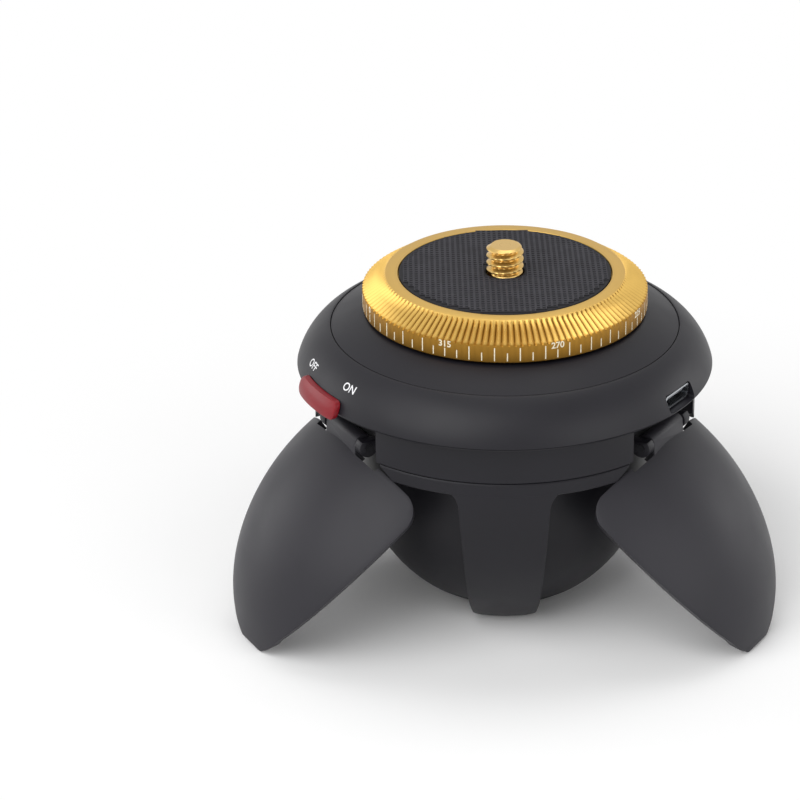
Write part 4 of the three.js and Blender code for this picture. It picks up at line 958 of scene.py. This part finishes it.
# Petal legs: three curved ABS shells, modelled once, that fold against the ball and open to
# stand the head up. Each has a hinge tab with a barrel that turns on a blackened steel pin.
petal_radius = 30.7
petal_half_height = 36.3
petal_centre = 30.2
petal_wall = 2.1
petal_top = 33.5
petal_foot = -2.1
side_distance = 9.9
shoulder = 4
foot_line = 1
foot_corner = 2.2
foot_rise = 1.6
open_angle = 53.5
barrel_radius = 1.6
barrel_half = 5.3
notch_end = 10.6
notch_depth = 0.9
notch_in = 6
notch_out = 2


def petal_reach(height):
    """Radius of the petal's outer skin at a height."""
    return petal_radius * math.sqrt(1 - ((height - petal_centre) / petal_half_height) ** 2)


def petal_side(height):
    """Distance along the skin from the middle of the petal to its side. Low down the side
    runs on nearly straight, past the end of the rib beside it."""
    radius = petal_reach(max(height, foot_line))
    side = radius * (math.pi / 3 - math.asin(side_distance / radius))
    below = max(0, foot_line - height)
    return side - 1.3 * below + 0.06 * below ** 2


def round_corner(side, height, edge, centre, across, down):
    """Moves a point near a square corner onto a round one, with even spacing."""
    a = (side - edge + across) / across
    b = (height - centre) / down
    if a <= 0 or b <= 0:
        return side, height
    ring, swing = max(a, b), (0.5 * b / a if a >= b else 1 - 0.5 * a / b)
    return (edge - across + across * ring * math.cos(math.pi / 2 * swing),
            centre + down * ring * math.sin(math.pi / 2 * swing))


def petal_place(across, up, layer):
    """A corner of the petal: an outline with round shoulders and a blunt foot, laid on the
    outer skin, or one wall thickness inside it."""
    height = petal_foot + (petal_top - petal_foot) * (up + 1) / 2
    edge = petal_side(height)
    side, height = round_corner(abs(across) * edge, height, edge,
                                petal_top - shoulder, shoulder, shoulder)
    side, height = round_corner(side, height, edge,
                                petal_foot + foot_rise, foot_corner, -foot_rise)
    radius = petal_reach(height)
    angle = math.copysign(side / radius, across)
    out = Vector((radius / petal_radius ** 2, (height - petal_centre) / petal_half_height ** 2))
    out = out.normalized() * petal_wall * layer
    return ((radius - out.x) * math.cos(angle), (radius - out.x) * math.sin(angle),
            height - out.y)


petal = bevelled(block("petal", 40, 64, petal_place), 0.4, segments=3, angle=50)
reach_top = petal_reach(petal_top)
notch_start = reach_top - notch_in
notch_stop = reach_top + notch_out
notch_low = petal_top - notch_depth
notch_high = petal_top + overshoot
for start, end in ((barrel_half, notch_end), (-notch_end, -barrel_half)):
    notch = slab("petal_notch", [
        (notch_start, start, notch_low), (notch_start, start, notch_high),
        (notch_stop, start, notch_high), (notch_stop, start, notch_low)], (0, end - start, 0))
    carved(petal, bevelled(notch, 0.2))
root = petal_top - 2 * petal_wall
tab_outline = [
    (petal_reach(root) - petal_wall / 2, root), (petal_reach(root) - 0.3 * petal_wall, root),
    (petal_reach(root) - 0.25 * petal_wall, petal_top - 1)] + arc(
    hinge_radius, hinge_height, barrel_radius, -30, 135, 14) + [
    (reach_top - petal_wall / 2, petal_top)]
tab = slab("hinge_tab", [(x, -barrel_half, z) for x, z in tab_outline], (0, 2 * barrel_half, 0))
carved(petal, bevelled(tab, 0.14), "UNION")
hinge = Vector((hinge_radius, 0, hinge_height)) * mm
swing_out = Matrix.Rotation(-math.radians(open_angle), 4, "Y")
petal.data.transform(Matrix.Translation(hinge) @ swing_out @ Matrix.Translation(-hinge))
pin_steel = turned_metal("blackened_pin_steel", "#3a3a3d", 0.42, 0.08)
for count in (1, 2, 3):
    refinish("hinge_pin_" + str(count), pin_steel)
# Painted light: the legs are the same black ABS as the body, given a lighter base colour so that
# they look more brightly lit.
painted_lighter_petal_abs = moulded_abs("moulded_petal_abs_painted_lighter", "#232227", "#2b2a2f", 0.44, 0.52, 0.32)
for side, polar in leg_polars.items():
    leg = petal.copy()
    leg.data = petal.data.copy()
    leg.name = leg.data.name = "petal_" + side
    bpy.context.collection.objects.link(leg)
    dressed(seated(leg, polar), painted_lighter_petal_abs, side + "_leg", ["leg_" + side])
bpy.data.objects.remove(petal)


# Studio: a plain pale floor that keeps the head's shadow and runs out to white. A large soft
# box stands in front at the left, a fill at the right, a smaller box above, and a weak strip
# at each side for the edges, in a pale room.
floor_size = 6
shadow_radius = 0.05
white_radius = 0.12
room_light = 0.32
room_mirrored = 0.8
head_middle = Vector((0, 0, 0.03))
lamps = (
    ("key_box", (-0.45, -0.5, 0.6), 0.8, 6),
    ("left_strip", (-0.7, 0.25, 0.16), 0.4, 1.2),
    ("right_strip", (0.7, 0.25, 0.16), 0.4, 1.1),
    ("fill_box", (0.65, -0.55, 0.3), 0.7, 2.5),
    ("top_box", (0.05, 0.3, 0.9), 0.6, 1.8))


def sees_white(tree, mirrored_share):
    """How much of the plain white background a ray sees: all of it from the camera and
    through glass, a share of it in a mirror, and none when it only brings light."""
    rays = add_node(tree, "ShaderNodeLightPath")
    mirrored = add_node(tree, "ShaderNodeMath", {
        0: rays.outputs["Is Glossy Ray"], 1: mirrored_share}, operation="MULTIPLY")
    seen = add_node(tree, "ShaderNodeMath", {
        0: rays.outputs["Is Camera Ray"], 1: mirrored.outputs["Value"]}, operation="MAXIMUM")
    through = add_node(tree, "ShaderNodeMath", {
        0: seen.outputs["Value"], 1: rays.outputs["Is Transmission Ray"]}, operation="MAXIMUM")
    return through.outputs["Value"]


bpy.ops.object.select_all(action="DESELECT")
bpy.ops.mesh.primitive_plane_add(size=floor_size)
floor = bpy.context.object
floor.name = "floor"
paper, tree, shader = new_finish("pale_floor", Roughness=0.9, Specular_IOR_Level=0.1)
shader.inputs["Base Color"].default_value = linear("#ffffff")
place = add_node(tree, "ShaderNodeTexCoord").outputs["Object"]
distance = add_node(tree, "ShaderNodeVectorMath", {0: place}, operation="LENGTH")
fade = add_node(tree, "ShaderNodeMapRange", {
    "Value": distance.outputs["Value"], "From Min": shadow_radius, "From Max": white_radius,
    "To Min": 0, "To Max": 1})
share = add_node(tree, "ShaderNodeMath", {
    0: fade.outputs["Result"], 1: sees_white(tree, 1)}, operation="MULTIPLY")
white = add_node(tree, "ShaderNodeEmission", {"Color": (1, 1, 1, 1), "Strength": 1})
blend = add_node(tree, "ShaderNodeMixShader", {
    0: share.outputs["Value"], 1: shader.outputs["BSDF"], 2: white.outputs["Emission"]})
tree.links.new(blend.outputs["Shader"], tree.nodes["Material Output"].inputs["Surface"])
floor.data.materials.append(paper)

world = bpy.data.worlds.new("pale_room")
world.use_nodes = True
bpy.context.scene.world = world
tree = world.node_tree
background = tree.nodes["Background"]
background.inputs["Color"].default_value = (1, 1, 1, 1)
room = add_node(tree, "ShaderNodeMapRange", {
    "Value": sees_white(tree, room_mirrored), "To Min": room_light, "To Max": 1})
tree.links.new(room.outputs["Result"], background.inputs["Strength"])

for name, place, size, power in lamps:
    bpy.ops.object.light_add(type="AREA", location=place)
    lamp = bpy.context.object
    lamp.name = name
    lamp.data.size = size
    lamp.data.energy = power
    lamp.rotation_euler = (head_middle - Vector(place)).to_track_quat("-Z", "Y").to_euler()

bpy.context.scene.view_settings.view_transform = "Standard"


# Camera at the photograph's viewing angle: 25 degrees above the horizon, straight from the
# front, far enough for the flat perspective of a product picture.
tilt = math.radians(25.4)
camera_distance = 565
aim_height = 36.26
camera_roll = 0.1
bpy.ops.object.camera_add(location=(0, 0, 0))
camera = bpy.context.object
aim = pan_foot + Vector((0, 0, aim_height * mm))
camera.location = aim + Vector((0, -math.cos(tilt), math.sin(tilt))) * camera_distance * mm
roll = Matrix.Rotation(math.radians(camera_roll), 4, "Z")
camera.rotation_euler = (Matrix.Rotation(math.radians(90) - tilt, 4, "X") @ roll).to_euler()
camera.data.sensor_width = 36
camera.data.lens = 146.25
camera.data.shift_x = -0.131
camera.data.shift_y = -0.018
bpy.context.scene.camera = camera
